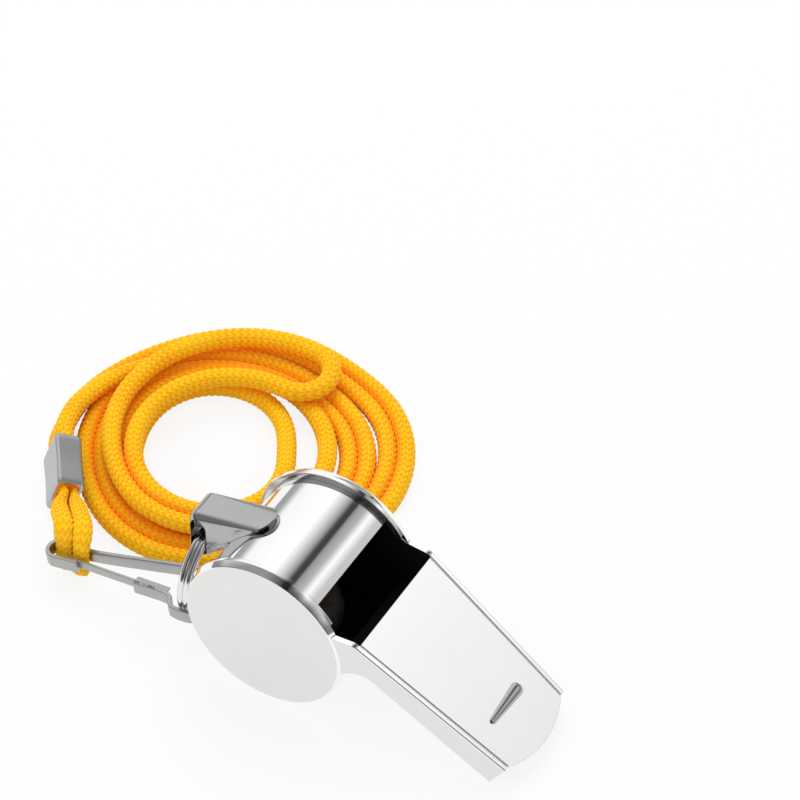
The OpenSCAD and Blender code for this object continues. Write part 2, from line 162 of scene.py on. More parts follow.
# Each push is a place in turns, a way outwards in millimetres and a spread in turns.
pushes = [(0, 1.4, 0.1), (1.1, 2.2, 0.12), (1.5, 0.9, 0.15), (1.97, -1.4, 0.2), (2.2, 3.5, 0.17),
          (2.44, 0.2, 0.12), (2.97, -1.5, 0.2)]
# Each dent is a depth, an angle, a spread in degrees and how much of it a turn takes away.
dents = [(3.9, -52, 32, 0.45), (0.8, 155, 38, 0.65), (1.35, 78, 24, 0.5)]
part_turn, part_gap, part_spread = 2.44, 3.2, 0.16
spread_turns, bight_spreads = 0.42, (5.35, -0.65)
bight_lift, bight_steps = 0.5, 12
ferrule_rear = (ring_x - 33, 11)
ferrule_l, ferrule_w, ferrule_h, ferrule_t = 9.4, 3.9, 5.8, 0.5
ferrule_angle, ferrule_lean = math.radians(-54), math.radians(21)
ferrule_foot = ferrule_w / 2 * math.sin(ferrule_lean)
ferrule_dir = Vector((math.cos(ferrule_angle), math.sin(ferrule_angle), 0))
ferrule_left = Vector((-math.sin(ferrule_angle) * math.cos(ferrule_lean),
                       math.cos(ferrule_angle) * math.cos(ferrule_lean), -math.sin(ferrule_lean)))
ferrule_up = ferrule_dir.cross(ferrule_left)
print("turns of the coil:", round(turns_all, 2))

# %% Strands of the coil
def in_ferrule(x, y, z):
    """A point of the ferrule's own frame, given from the drum's axis, in millimetres."""
    rear = Vector((*ferrule_rear, ferrule_foot))
    return rear + x * ferrule_dir + y * ferrule_left + z * ferrule_up


def climbed(turn):
    """How much of the climb lies behind a strand after so many turns."""
    return min(max(turn - turns_in, 0), climb_turns)


def bell(off, spread):
    """A smooth bump of height one with a spread."""
    return math.exp(-(off / spread) ** 2)


def strand_radius(turn):
    """Radius of the outer strand after so many turns, before the dents."""
    up = climbed(turn)
    wound = min(turn, turns_in) + up - up * up / climb_turns
    out = max(turn - turns_in - climb_turns, 0)
    pushed = sum(way * bell(turn - place, spread) for place, way, spread in pushes)
    return coil_r - wind_in * wound + wind_out * out + pushed


def strand_height(turn):
    """Height of a strand's middle after so many turns."""
    rise = layer_step * math.sin(math.pi / 2 * climbed(turn) / climb_turns) ** 2
    return cord_h / 2 + rise + stack_rise * max(1 - turn / stack_turns, 0) ** 2


def dent_at(angle, turn):
    """How far the coil is pushed in at an angle, less and less towards its inner turns."""
    total = 0
    for depth, middle, spread, fade in dents:
        off = (angle - middle + 180) % 360 - 180
        total += depth * bell(off, spread) * max(1 - fade * min(turn, turns_in), 0)
    return total


def strand_point(turn, side):
    """A point of the outer strand, side 0, or of the inner one, side 1."""
    angle = coil_start_angle - 360 * turn
    out = Vector((math.cos(math.radians(angle)), math.sin(math.radians(angle)), 0))
    lean = (math.pi / 2 - ferrule_lean) * max(1 - turn / stack_turns, 0)
    opened = math.sin(math.pi / 2 * max(1 - (turns_all - turn) / spread_turns, 0)) ** 2
    radius = strand_radius(turn) - dent_at(angle, turn) + bight_spreads[side] * opened
    moved = min(turn / turns_in, 1)
    middle = Vector((coil_start[0] + coil_drift[0] * moved, coil_start[1] + coil_drift[1] * moved,
                     strand_height(turn) + bight_lift * opened))
    beside = Vector((0, 0, math.sin(lean))) - math.cos(lean) * out
    apart = strand_step + part_gap * bell(turn - part_turn, part_spread)
    return middle + radius * out + side * apart * beside


def coil_points():
    """The whole cord of the coil, from the ferrule in, round the bight and back."""
    turns = [i / steps_per_turn for i in range(int(turns_all * steps_per_turn))] + [turns_all]
    bight_from, bight_to = strand_point(turns_all, 0), strand_point(turns_all, 1)
    bight_out = (bight_from - bight_to) / 2
    heading = math.radians(bight_angle)
    ahead = bight_out.length * Vector((math.sin(heading), -math.cos(heading), 0))
    points = [in_ferrule(x, 0, (ferrule_h - strand_step) / 2) for x in (0, -cord_h)]
    points += [strand_point(turn, 0) for turn in turns]
    for i in range(1, bight_steps):
        a = math.pi * i / bight_steps
        points.append(bight_to + bight_out * (1 + math.cos(a)) + ahead * math.sin(a))
    points += [strand_point(turn, 1) for turn in reversed(turns)]
    points += [in_ferrule(x, 0, (ferrule_h + strand_step) / 2) for x in (-cord_h, 0)]
    return points


coil_line = coil_points()
print("points on the coil's route:", len(coil_line))

# %% [markdown]
# A smooth curve through the chosen points is a Catmull-Rom curve: it passes through each one,
# and its direction there follows the two neighbours. It is then cut into equal small steps,
# because the stitches of the knit have to keep one length all along the cord.

# %% A smooth line in equal steps
fine_steps = 12
knit_step = 0.26


def smooth(points, step):
    """Points a step apart on a Catmull-Rom curve, with the length so far at each one."""
    rows = np.array([list(p) for p in points], float)
    padded = np.vstack([2 * rows[0] - rows[1], rows, 2 * rows[-1] - rows[-2]])
    t = np.linspace(0, 1, fine_steps, endpoint=False)[:, None]
    fine = []
    for a, b, c, d in zip(padded, padded[1:], padded[2:], padded[3:]):
        bend = (2 * a - 5 * b + 4 * c - d) * t ** 2 + (3 * b - a - 3 * c + d) * t ** 3
        fine.append(0.5 * (2 * b + (c - a) * t + bend))
    fine = np.vstack(fine + [rows[-1:]])
    along = np.concatenate([[0], np.cumsum(np.linalg.norm(np.diff(fine, axis=0), axis=1))])
    stops = np.linspace(0, along[-1], max(int(along[-1] / step), 2) + 1)
    return np.stack([np.interp(stops, along, fine[:, k]) for k in range(fine.shape[1])], 1), stops


coil_fine, coil_stops = smooth(coil_line, knit_step)
print("length of the coiled cord, mm:", round(float(coil_stops[-1]), 1))

# %% [markdown]
# The cord is a knitted tube: eight columns of V-shaped stitches run along it. A bump map alone
# would leave its outline smooth, so the stitches are real: the tube's points move in and out
# with the height of the stitch there. The same height is stored on the mesh for the material,
# which paints the crests lighter than the gaps: painted light on the crests, painted shade in the gaps.

# %% The knit's height
knit_columns = 8
stitch_pitch = 1.05
stitch_depth = 0.24
chevron_share = 0.55
valley_share = 0.3
valley_depth, seam_share, low_share = 0.8, 0.6, 0.2
seam_power, crest_power = 6, 0.7


def knit_height(turn, along):
    """Height of the knit, from 0 in the gaps to 1 on the crests."""
    column = (turn * knit_columns) % 1 * 2 - 1
    phase = along / stitch_pitch + chevron_share * np.abs(column)
    yarn = 0.5 + 0.5 * np.cos(2 * np.pi * phase)
    seam = 1 - seam_share * np.abs(column) ** seam_power
    valley = 1 - valley_depth * np.exp(-(column / valley_share) ** 2) * (1 - yarn)
    return np.clip((low_share + (1 - low_share) * yarn ** crest_power) * seam * valley, 0, 1)


sample_turns = np.linspace(0, 1, 99)
print("mean height of the knit:", round(float(knit_height(sample_turns, stitch_pitch / 4).mean()), 2))

# %% [markdown]
# Every mesh here ends in the same steps: it rides on a body and stands for its nodes of the
# solid model. One helper does both, so that neither is forgotten.

# %% New pieces
materials = {}


def mesh_of(name, vertices, faces):
    """A mesh from points in metres and faces."""
    mesh = bpy.data.meshes.new(name)
    mesh.from_pydata([tuple(v) for v in vertices], [], faces)
    return mesh


def settle(piece, body, replaced=()):
    """Gives a piece its body and the nodes that it stands for."""
    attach(piece, body)
    if replaced:
        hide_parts(*replaced)
    return piece


def tube_faces(rings, sides):
    """Quads of a tube, ring after ring, and its two end caps."""
    quads = []
    for k in range(rings - 1):
        for i in range(sides):
            j = (i + 1) % sides
            quads.append((k * sides + i, k * sides + j, (k + 1) * sides + j, (k + 1) * sides + i))
    last = (rings - 1) * sides
    caps = [tuple(reversed(range(sides))), tuple(range(last, last + sides))]
    return quads + caps


print("faces of a short tube:", len(tube_faces(3, 8)))

# %% [markdown]
# A knitted tube follows a line with a width and a thickness at each point. The coil is round,
# and the loops through the clip are squeezed flat. The frame at each ring is built from the
# line's direction and the direction in which the cord is wide. A curve with a round bevel would
# be quicker to make, but all its sections are alike, and its skin can't carry stitches.

# %% Knitted tubes
knit_sides = 48


def knit_tube(name, line, along, wide, widths, heights, replaced):
    """A knitted tube: wide is the direction of its width at each point, in millimetres."""
    ahead = np.gradient(line, axis=0)
    ahead /= np.linalg.norm(ahead, axis=1)[:, None]
    up = np.cross(ahead, wide)
    up /= np.linalg.norm(up, axis=1)[:, None]
    side = np.cross(up, ahead)
    turn = np.arange(knit_sides) / knit_sides
    a = 2 * np.pi * turn
    height = knit_height(turn[None, :], along[:, None])
    sunk = stitch_depth * (1 - height)
    half_width = widths[:, None] / 2 - sunk
    half_height = heights[:, None] / 2 - sunk * np.minimum(heights / widths, 1)[:, None]
    across, upward = half_width * np.cos(a), half_height * np.sin(a)
    offset = across[..., None] * side[:, None] + upward[..., None] * up[:, None]
    points = (line[:, None] + offset - np.array([origin_x, 0, 0])) * MM
    mesh = mesh_of(name, points.reshape(-1, 3).tolist(), tube_faces(len(line), knit_sides))
    mesh.validate()
    store_on_points(mesh, "knit_height", height)
    mesh.shade_smooth()
    return settle(linked(name, mesh), "lanyard", replaced)


def store_on_points(mesh, name, values):
    """Stores a number on each point of a mesh, for its material."""
    stored = mesh.attributes.new(name, "FLOAT", "POINT")
    stored.data.foreach_set("value", values.astype(np.float32).ravel())


def level_width(line):
    """Directions square to a line and level, for a cord that lies flat."""
    ahead = np.gradient(line, axis=0)
    return np.cross(ahead, np.array([0, 0, 1.0]))


coil_widths = np.full(len(coil_fine), cord_w)
coil_heights = np.full(len(coil_fine), cord_h)
coil = knit_tube("knitted_cord_coil", coil_fine, coil_stops, level_width(coil_fine),
                 coil_widths, coil_heights, ["cord_coil"])
print("points on the coil:", len(coil.data.vertices))

# %% [markdown]
# Where two strands lie against each other, light is thrown to and fro between them, and the dye
# looks a deep orange. How near the next strand lies is a fact of the lay, so it is measured once
# here, on the points of the coil's skin, and stored on the mesh for the material to use.

# %% Pockets between the strands
pocket_skip, pocket_apart, pocket_reach = 4, 8, 1.3


def store_pockets(piece, line, stops):
    """Stores how near each point of a coil's skin lies to another strand of it, from 0 to 1."""
    points = np.empty(len(piece.data.vertices) * 3)
    piece.data.vertices.foreach_get("co", points)
    skins = (points.reshape(len(line), knit_sides, 3) / MM + np.array([origin_x, 0, 0]))
    others, their_stops = line[::pocket_skip], stops[::pocket_skip]
    near = np.zeros((len(line), knit_sides))
    for k, skin_ring in enumerate(skins):
        apart = np.abs(their_stops - stops[k]) > pocket_apart
        gaps = np.linalg.norm(skin_ring[:, None] - others[apart][None], axis=2).min(1) - cord_w / 2
        near[k] = np.clip(1 - gaps / pocket_reach, 0, 1)
    store_on_points(piece.data, "pocket", near)
    return near


print("mean pocket:", round(float(store_pockets(coil, coil_fine, coil_stops).mean()), 2))

# %% [markdown]
# Between the ferrule and the clip the cord makes two loops side by side. They come out of the
# ferrule's upper half, go over the clip's back leg, down inside the clip and back under it into
# the ferrule's lower half. A simulation could lay them, but so short and tight a loop is surer
# as a listed route. The route stays close to the points of the solid: each row is a place, then the
# cord's width and thickness there and the direction of its width in degrees.

# %% Loops through the clip
strand_w = (ferrule_w - 2 * ferrule_t) / 2
strand_h = (ferrule_h - 2 * ferrule_t) / 2
strand_gap, strand_run, loop_gap = 0.08, 1.2, 0.06
loop_step = 0.8 * knit_step
loop_route = [
    (-24.5, 9.1, 5.3, 2.2, 2.2, 35), (-23, 7.3, 6.4, 2.6, 2, 28), (-21.6, 5.8, 7.2, 2.75, 1.8, 19),
    (-20.5, 4.5, 7.5, 2.8, 1.6, 10), (-19.8, 3.4, 7.1, 2.8, 1.4, 3), (-19.5, 2.75, 6.3, 2.75, 1.2, 0),
    (-19.5, 2.6, 5.1, 2.7, 1.1, 0), (-19.5, 2.6, 4.1, 2.7, 1.1, 0), (-19.5, 2.5, 3.1, 2.7, 1.2, 0),
    (-19.5, 2.4, 2, 2.6, 1.4, 0), (-19.9, 2.7, 1.3, 2.4, 1.6, 4), (-20.8, 3.8, 1, 2.1, 1.6, 14),
    (-22.4, 5.5, 1.1, 1.8, 1.8, 26), (-24.8, 8.3, 1.5, 1.5, 2.1, 35)]


def clip_loop(name, side, replaced):
    """One loop of cord, on the left, side -1, or on the right, side 1."""
    y = side * strand_w / 2
    low, high = ferrule_t + strand_h / 2, ferrule_t + strand_h * 3 / 2
    far = ferrule_l + strand_run
    wide = tuple(ferrule_left)
    form = (strand_w - strand_gap, strand_h - strand_gap)
    rows = [(*in_ferrule(ferrule_l, y, high), *form, *wide), (*in_ferrule(far, y, high), *form, *wide)]
    for x, y_there, z, width, height, turned in loop_route:
        across = Vector((math.cos(math.radians(turned)), math.sin(math.radians(turned)), 0))
        place = Vector((ring_x + x, hook_y + y_there, z)) + side * (width + loop_gap) / 2 * across
        rows.append((*place, width, height, *across))
    rows += [(*in_ferrule(far, y, low), *form, *wide), (*in_ferrule(ferrule_l, y, low), *form, *wide)]
    fine = smooth(rows, loop_step)[0]
    route, widths, heights, wide_ways = fine[:, :3], fine[:, 3], fine[:, 4], fine[:, 5:8]
    length = float(np.linalg.norm(np.diff(route, axis=0), axis=1).sum())
    print(name, "is", round(length, 1), "mm long")
    return knit_tube(name, route, np.linspace(0, length, len(fine)), wide_ways, widths, heights, replaced)


left_loop = clip_loop("cord_loop_left", -1, ["cord_clip_loops"])
right_loop = clip_loop("cord_loop_right", 1, [])

# %% [markdown]
# The coil's length follows from its route, and its far end goes back into the ferrule.

# %% [markdown]
# A shader effect that several finishes share is a node group with named sockets. Here that is
# fine wear: noise stretched along one direction gives hairlines, and a softer noise gives
# smudges. Both come out as masks, and each material decides how strongly it uses them.

# %% Node helpers
def add_node(tree, kind, **settings):
    """A node of a kind in a tree, with its settings."""
    node = tree.nodes.new(kind)
    for key, value in settings.items():
        setattr(node, key, value)
    return node


def scaled(tree, value, factor, offset=0):
    """value times factor plus offset, as a socket."""
    node = add_node(tree, "ShaderNodeMath", operation="MULTIPLY_ADD")
    tree.links.new(value, node.inputs[0])
    node.inputs[1].default_value, node.inputs[2].default_value = factor, offset
    return node.outputs[0]


def ramp(tree, value, stops):
    """A colour ramp over value, from stops of place and colour."""
    node = add_node(tree, "ShaderNodeValToRGB")
    tree.links.new(value, node.inputs[0])
    steps = node.color_ramp.elements
    while len(steps) < len(stops):
        steps.new(0.5)
    for step, (place, colour) in zip(steps, stops):
        step.position, step.color = place, (*colour, 1)
    return node.outputs[0]


def mixed(tree, share, first, second, blend="MIX"):
    """Two colours mixed by a share: each of the three is a socket or a plain value."""
    node = add_node(tree, "ShaderNodeMix", data_type="RGBA", blend_type=blend)
    for name, value in (("Factor", share), ("A", first), ("B", second)):
        if isinstance(value, bpy.types.NodeSocket):
            tree.links.new(value, node.inputs[name])
        else:
            node.inputs[name].default_value = value
    return node.outputs["Result"]


print("node helpers:", [f.__name__ for f in (add_node, scaled, ramp, mixed)])

# %% Node groups
def new_group(name, inputs, outputs):
    """An empty node group with float inputs and outputs, and its two end nodes."""
    group = bpy.data.node_groups.new(name, "ShaderNodeTree")
    for socket, value in inputs.items():
        made = group.interface.new_socket(socket, in_out="INPUT", socket_type="NodeSocketFloat")
        made.default_value = value
    for socket in outputs:
        group.interface.new_socket(socket, in_out="OUTPUT", socket_type="NodeSocketFloat")
    return group, add_node(group, "NodeGroupInput"), add_node(group, "NodeGroupOutput")


def use_group(tree, group, **values):
    """A group placed in a tree with its own values."""
    node = add_node(tree, "ShaderNodeGroup", node_tree=group)
    for key, value in values.items():
        node.inputs[key].default_value = value
    return node


def noise(group, vector, detail):
    """A noise texture over a vector."""
    node = add_node(group, "ShaderNodeTexNoise")
    node.inputs["Detail"].default_value = detail
    group.links.new(vector, node.inputs["Vector"])
    return node


print("group helpers:", [f.__name__ for f in (new_group, use_group, noise)])

# %% Hairlines and smudges
hairline_scale, hairline_stretch, hairline_detail = 900, 0.04, 4
smudge_scale, smudge_detail = 130, 3


def make_wear_group():
    """Group: hairlines stretched along X, and smudges, both as masks from 0 to 1."""
    sockets = {"Scale": hairline_scale, "Stretch": hairline_stretch}
    group, start, end = new_group("fine_wear", sockets, ["Hairlines", "Smudges"])
    place = add_node(group, "ShaderNodeTexCoord")
    squeeze = add_node(group, "ShaderNodeCombineXYZ")
    squeeze.inputs[1].default_value = squeeze.inputs[2].default_value = 1
    group.links.new(start.outputs["Stretch"], squeeze.inputs[0])
    stretched = add_node(group, "ShaderNodeVectorMath", operation="MULTIPLY")
    group.links.new(place.outputs["Object"], stretched.inputs[0])
    group.links.new(squeeze.outputs[0], stretched.inputs[1])
    lines = noise(group, stretched.outputs[0], hairline_detail)
    group.links.new(start.outputs["Scale"], lines.inputs["Scale"])
    blots = noise(group, place.outputs["Object"], smudge_detail)
    blots.inputs["Scale"].default_value = smudge_scale
    group.links.new(lines.outputs["Fac"], end.inputs["Hairlines"])
    group.links.new(blots.outputs["Fac"], end.inputs["Smudges"])
    return group


wear_group = make_wear_group()
print("group:", wear_group.name)

# %% [markdown]
# A metal finish is a metallic surface whose roughness and bump come from the wear group. The
# polished plates take little of it, the drawn strip of the clip takes much, along its length.
# One even grey would look like plastic: fine lines that scatter the reflections a little are
# what tells the eye that a surface is metal.

# %% Worn surfaces
smudge_stops = (0.3, 0.7)


def new_material(name):
    """A material kept under its name, as its node tree and its shader."""
    material = bpy.data.materials.new(name)
    material.use_nodes = True
    materials[name] = material
    return material.node_tree, material.node_tree.nodes["Principled BSDF"]


def worn(name, colour, rough, rough_spread, smudge, scale, stretch):
    """A surface whose tone follows the smudges, and its roughness the hairlines."""
    tree, shader = new_material(name)
    wear = use_group(tree, wear_group, Scale=scale, Stretch=stretch)
    low, high = [c * (1 - smudge) for c in colour], [min(c * (1 + smudge), 1) for c in colour]
    tone = ramp(tree, wear.outputs["Smudges"], list(zip(smudge_stops, (low, high))))
    tree.links.new(tone, shader.inputs["Base Color"])
    spread = scaled(tree, wear.outputs["Hairlines"], rough_spread, rough - rough_spread / 2)
    tree.links.new(spread, shader.inputs["Roughness"])
    return tree, shader, wear


def add_relief(tree, shader, height, strength, depth):
    """A bump on a shader, from a height and a depth in millimetres."""
    relief = add_node(tree, "ShaderNodeBump")
    relief.inputs["Strength"].default_value = strength
    relief.inputs["Distance"].default_value = depth * MM
    tree.links.new(height, relief.inputs["Height"])
    tree.links.new(relief.outputs[0], shader.inputs["Normal"])


print("surface helpers:", [f.__name__ for f in (new_material, worn, add_relief)])

# %% Metal finishes
hairline_depth = 0.02
# Each metal has its colour, its roughness and the spread of it, the strength of its bump, the
# depth of its smudges, and the scale and stretch of its hairlines.
metals = {
    "polished_steel": ((0.93, 0.93, 0.93), 0.07, 0.05, 0.05, 0.01, 900, 0.04),
    "polished_face": ((0.8, 0.795, 0.785), 0.16, 0.06, 0.04, 0.008, 900, 0.04),
    "wire_steel": ((0.82, 0.82, 0.83), 0.14, 0.1, 0.2, 0.03, 900, 0.04),
    "tab_steel": ((0.45, 0.46, 0.46), 0.16, 0.08, 0.1, 0.02, 900, 0.04),
    "drawn_strip": ((0.44, 0.44, 0.43), 0.34, 0.2, 0.6, 0.06, 1400, 0.02),
    "satin_sleeve": ((0.5, 0.51, 0.52), 0.36, 0.12, 0.35, 0.03, 1100, 0.05)}


def metal(name, colour, rough, rough_spread, bump, smudge, scale, stretch):
    """A metal with hairlines."""
    tree, shader, wear = worn(name, colour, rough, rough_spread, smudge, scale, stretch)
    shader.inputs["Metallic"].default_value = 1
    add_relief(tree, shader, wear.outputs["Hairlines"], bump, hairline_depth)


for name, values in metals.items():
    metal(name, *values)
print("metal finishes:", sorted(materials))

# %% [markdown]
# Inside the drum lies deep shade, and the sheet there is painted near black: this is painted shade,
# which soaks up the light that comes in at the window. Left polished, the sheet would send light to
# and fro and glow. A dark, dull finish there makes the window the black opening that it is on the real
# whistle.

# %% Painted shade inside
# A near-black colour is painted shade for the inside of the drum and the windway.
inside_shade_colour, inside_shade_rough, inside_shade_spread, inside_shade_smudge = (0.004, 0.004, 0.005), 0.7, 0.15, 0.3
inside_shade_scale, inside_shade_stretch = 600, 0.3
worn("painted_shade_inside", inside_shade_colour, inside_shade_rough, inside_shade_spread, inside_shade_smudge, inside_shade_scale, inside_shade_stretch)
print("finishes so far:", len(materials))

# %% [markdown]
# The cord is dyed yellow polyester. The brighter yellow on the crests of the stitches is painted
# light, and the deep orange in the gaps is painted shade, for the light that bounces from yarn to
# yarn. The stored height of the knit mixes the two. Fine filaments in the yarn come from a noise
# bump, and sheen gives the soft edge of a textile. The stored pockets add a painted deep orange
# shade where two strands touch.

# %% Cord with its dye and painted light and shade
# The gap orange is painted shade in the gaps between the stitches, and the crest yellow is painted light
# on their crests.
painted_gap_shade, slope_yellow, painted_crest_light = (0.92, 0.22, 0), (1, 0.43, 0.002), (1, 0.63, 0.014)
slope_height, crest_height = 0.3, 0.8
# The pocket orange is painted shade where two strands of the coil touch.
painted_pocket_shade, pocket_shade_share = (1, 0.22, 0, 1), 0.55
uneven_share = 0.5
filament_scale, filament_bump, filament_depth = 2600, 0.5, 0.06
textile = {"Roughness": 0.8, "Specular IOR Level": 0.2, "Sheen Weight": 0.05, "Sheen Roughness": 0.4}


def cord_dye_and_painted_shade():
    """The cord's material: its dye, with painted light and shade from the knit's stored height."""
    tree, shader = new_material("cord_dye_and_painted_shade")
    knit = add_node(tree, "ShaderNodeAttribute", attribute_name="knit_height")
    wear = use_group(tree, wear_group, Scale=filament_scale, Stretch=1)
    uneven = add_node(tree, "ShaderNodeMath", operation="ADD")
    smudges = scaled(tree, wear.outputs["Smudges"], uneven_share, -uneven_share / 2)
    tree.links.new(smudges, uneven.inputs[0])
    tree.links.new(knit.outputs["Fac"], uneven.inputs[1])
    # The ramp over the knit's height paints shade into the gaps and light onto the crests.
    tone = ramp(tree, uneven.outputs[0], [
        (0, painted_gap_shade), (slope_height, slope_yellow), (crest_height, painted_crest_light)])
    # Painted shade: the pockets turn the colour deep orange where two strands touch.
    pocket = add_node(tree, "ShaderNodeAttribute", attribute_name="pocket")
    pocket_shade_mask = scaled(tree, pocket.outputs["Fac"], pocket_shade_share)
    tree.links.new(mixed(tree, pocket_shade_mask, tone, painted_pocket_shade), shader.inputs["Base Color"])
    for key, value in textile.items():
        shader.inputs[key].default_value = value
    add_relief(tree, shader, wear.outputs["Hairlines"], filament_bump, filament_depth)


cord_dye_and_painted_shade()
dyed_pieces = (coil, left_loop, right_loop)
for piece in dyed_pieces:
    piece.data.materials.append(materials["cord_dye_and_painted_shade"])
print("dyed:", [piece.name for piece in dyed_pieces])

# %% [markdown]
# Sheet-metal pieces are unions of simple closed shapes: a turned profile, a flat outline, a
# hull. Small rounded edges matter most on polished metal, because each catches a line of light.
# So every outline is bevelled before it is joined, and the normals are weighted by face area,
# which keeps large flat faces flat up to their rounded edges.

# %% Solid shapes
def outward(piece):
    """Turns every face of a piece outwards."""
    shape = bmesh.new()
    shape.from_mesh(piece.data)
    bmesh.ops.recalc_face_normals(shape, faces=shape.faces)
    shape.to_mesh(piece.data)
    shape.free()
    return piece


def mesh_object(name, vertices, faces):
    """A loose mesh object, used as it is or as a tool for a cut or a union."""
    return outward(linked(name, mesh_of(name, vertices, faces)))


def bake_modifiers(piece):
    """Replaces a piece's mesh by what its modifiers make of it."""
    graph = bpy.context.evaluated_depsgraph_get()
    made = bpy.data.meshes.new_from_object(piece.evaluated_get(graph))
    piece.modifiers.clear()
    old = piece.data
    piece.data = made
    bpy.data.meshes.remove(old)
    return piece


def combine(piece, tool, operation):
    """Joins, cuts or intersects a piece with a tool, which is then removed."""
    step = piece.modifiers.new("combine", "BOOLEAN")
    step.operation, step.object, step.solver = operation, tool, "EXACT"
    bake_modifiers(piece)
    bpy.data.objects.remove(tool)
    return piece


print("shape helpers:", [f.__name__ for f in (outward, mesh_object, bake_modifiers, combine)])

# %% Rounded edges
long_edge, skin = 10, 0.08


def round_edges(piece, width, steps, above=30):
    """Rounds all edges that are sharper than an angle in degrees."""
    bevel = piece.modifiers.new("round", "BEVEL")
    bevel.width, bevel.segments = width * MM, steps
    bevel.limit_method, bevel.angle_limit = "ANGLE", math.radians(above)
    return bake_modifiers(piece)


def round_long_edges(piece, width, steps):
    """Rounds only the long edges along the roof's top."""
    shape = bmesh.new()
    shape.from_mesh(piece.data)
    chosen = []
    for edge in shape.edges:
        (x, _, z), (x_end, _, z_end) = [in_whistle(v.co) for v in edge.verts]
        if min(z, z_end) > roof_z - skin and abs(x_end - x) > long_edge:
            chosen.append(edge)
    bmesh.ops.bevel(shape, geom=chosen, offset=width * MM, segments=steps, profile=0.5, affect="EDGES")
    shape.to_mesh(piece.data)
    shape.free()
    return piece


def finish_normals(piece, sharp=35):
    """Smooth shading with flat faces kept flat: sharp is the angle of a kept edge, in degrees."""
    piece.data.shade_smooth()
    piece.data.set_sharp_from_angle(angle=math.radians(sharp))
    weigh = piece.modifiers.new("weigh", "WEIGHTED_NORMAL")
    weigh.keep_sharp, weigh.weight = True, 100
    return bake_modifiers(piece)


print("edge helpers:", [f.__name__ for f in (round_edges, round_long_edges, finish_normals)])

# %% [markdown]
# Three kinds of shape make the whistle: a profile turned about the drum's axis, an outline in
# the side view made thick across it, and a strip bent along a line with its width across it.

# %% Turned, flat and bent shapes
turn_steps = 240


def turned(name, profile, start, end):
    """A closed profile of radius and y, turned about the drum's axis between two angles."""
    full = end - start >= 360
    count = max(int(turn_steps * (end - start) / 360), 8)
    vertices = []
    for k in range(count + (0 if full else 1)):
        a = math.radians(start + (end - start) * k / count)
        vertices += [on_whistle(r * math.cos(a), y, r * math.sin(a)) for r, y in profile]
    n = len(profile)
    rings = count if full else count + 1
    faces = []
    for k in range(rings if full else rings - 1):
        for i in range(n):
            j, m = (i + 1) % n, (k + 1) % rings
            faces.append((k * n + i, k * n + j, m * n + j, m * n + i))
    if not full:
        faces += [tuple(range(n)), tuple(range((rings - 1) * n, rings * n))]
    return mesh_object(name, vertices, faces)


def flat_shape(name, outline, y_low, y_high, place):
    """An outline of x and z made thick from y_low to y_high, put in place by a function."""
    n = len(outline)
    vertices = [place(x, y, z) for y in (y_low, y_high) for x, z in outline]
    faces = [tuple(range(n)), tuple(range(2 * n - 1, n - 1, -1))]
    faces += [(i, (i + 1) % n, n + (i + 1) % n, n + i) for i in range(n)]
    return mesh_object(name, vertices, faces)


def arc(center, radius, start, end, steps):
    """Points of an arc round a centre, between two angles in degrees."""
    angles = [math.radians(start + (end - start) * i / steps) for i in range(steps + 1)]
    return [(center[0] + radius * math.cos(a), center[1] + radius * math.sin(a)) for a in angles]


def bent_strip(name, line, thick, half_widths, corner, place):
    """A strip bent along a line, with rounded long edges: half_widths is one value a point."""
    line = np.array(line, float)
    ahead = np.gradient(line, axis=0)
    ahead /= np.linalg.norm(ahead, axis=1)[:, None]
    normal = np.stack([-ahead[:, 1], ahead[:, 0]], 1)
    vertices = []
    for point, off, half in zip(line, normal, half_widths):
        for sign_n, sign_w, first in ((1, 1, 0), (-1, 1, 270), (-1, -1, 180), (1, -1, 90)):
            for turn in (0, 30, 60, 90):
                a = math.radians(first + turn)
                across = sign_w * (half - corner) + corner * math.cos(a)
                out = sign_n * (thick / 2 - corner) + corner * math.sin(a)
                x, z = point + off * out
                vertices.append(place(x, across, z))
    # The corners above run round the section in four quarter turns.
    sides = 16
    order = [0, 1, 2, 3, 12, 13, 14, 15, 8, 9, 10, 11, 4, 5, 6, 7]
    faces = []
    for k in range(len(line) - 1):
        for i in range(sides):
            a, b = order[i], order[(i + 1) % sides]
            faces.append((k * sides + a, k * sides + b, (k + 1) * sides + b, (k + 1) * sides + a))
    last = (len(line) - 1) * sides
    faces += [tuple(order), tuple(last + i for i in reversed(order))]
    return mesh_object(name, vertices, faces)


print("shape makers:", [f.__name__ for f in (turned, flat_shape, arc, bent_strip)])

# %% [markdown]
# A side plate is pressed from one sheet: a round face with its edge turned over, and a flat
# wall that runs out of it along the mouthpiece. The turned edge is a rounded corner, so the
# profile has a quarter turn there. The rim is cut open where the wall leaves the drum.

# %% Sizes of the sheets
barrel_r = disc_r - barrel_inset
chamber_r = barrel_r - barrel_t
half_w = whistle_w / 2
inner_w = whistle_w - 2 * plate_t
edge_r, slant, slant_w, lip_r = 0.2, 24, 0.85, 0.12
round_steps = 4
flat_r = disc_r - 0.6
axis_r = 0.01
edge_round, edge_steps, square_angle = 0.08, 2, 50
wall_round = 0.22
solder_gap = 0.03
rim_end_angle, neck_angle, rim_open_angle = 66, 26, 4
wall_neck_x = 0.6 * disc_r
wall_neck_y = half_w - 0.3
taper = math.atan2(wall_neck_y - tip_w / 2, tip_x - wall_neck_x)
wall_tip_x = wall_neck_x + (tip_x - wall_neck_x) / math.cos(taper)
roof_step = (0.9, 0.3)
floor_rise = 0.7
neck_lap = (1.6, 0.5)
neck_dip_shares = (0.52, 0.84)
neck_corner_shares = (0.885, 0.43)
neck_bend_shares = [(0.94, 0.535), (1.02, 0.635)]
floor_start_x = 1.115 * disc_r
print("taper of the mouthpiece in degrees:", round(math.degrees(taper), 2))

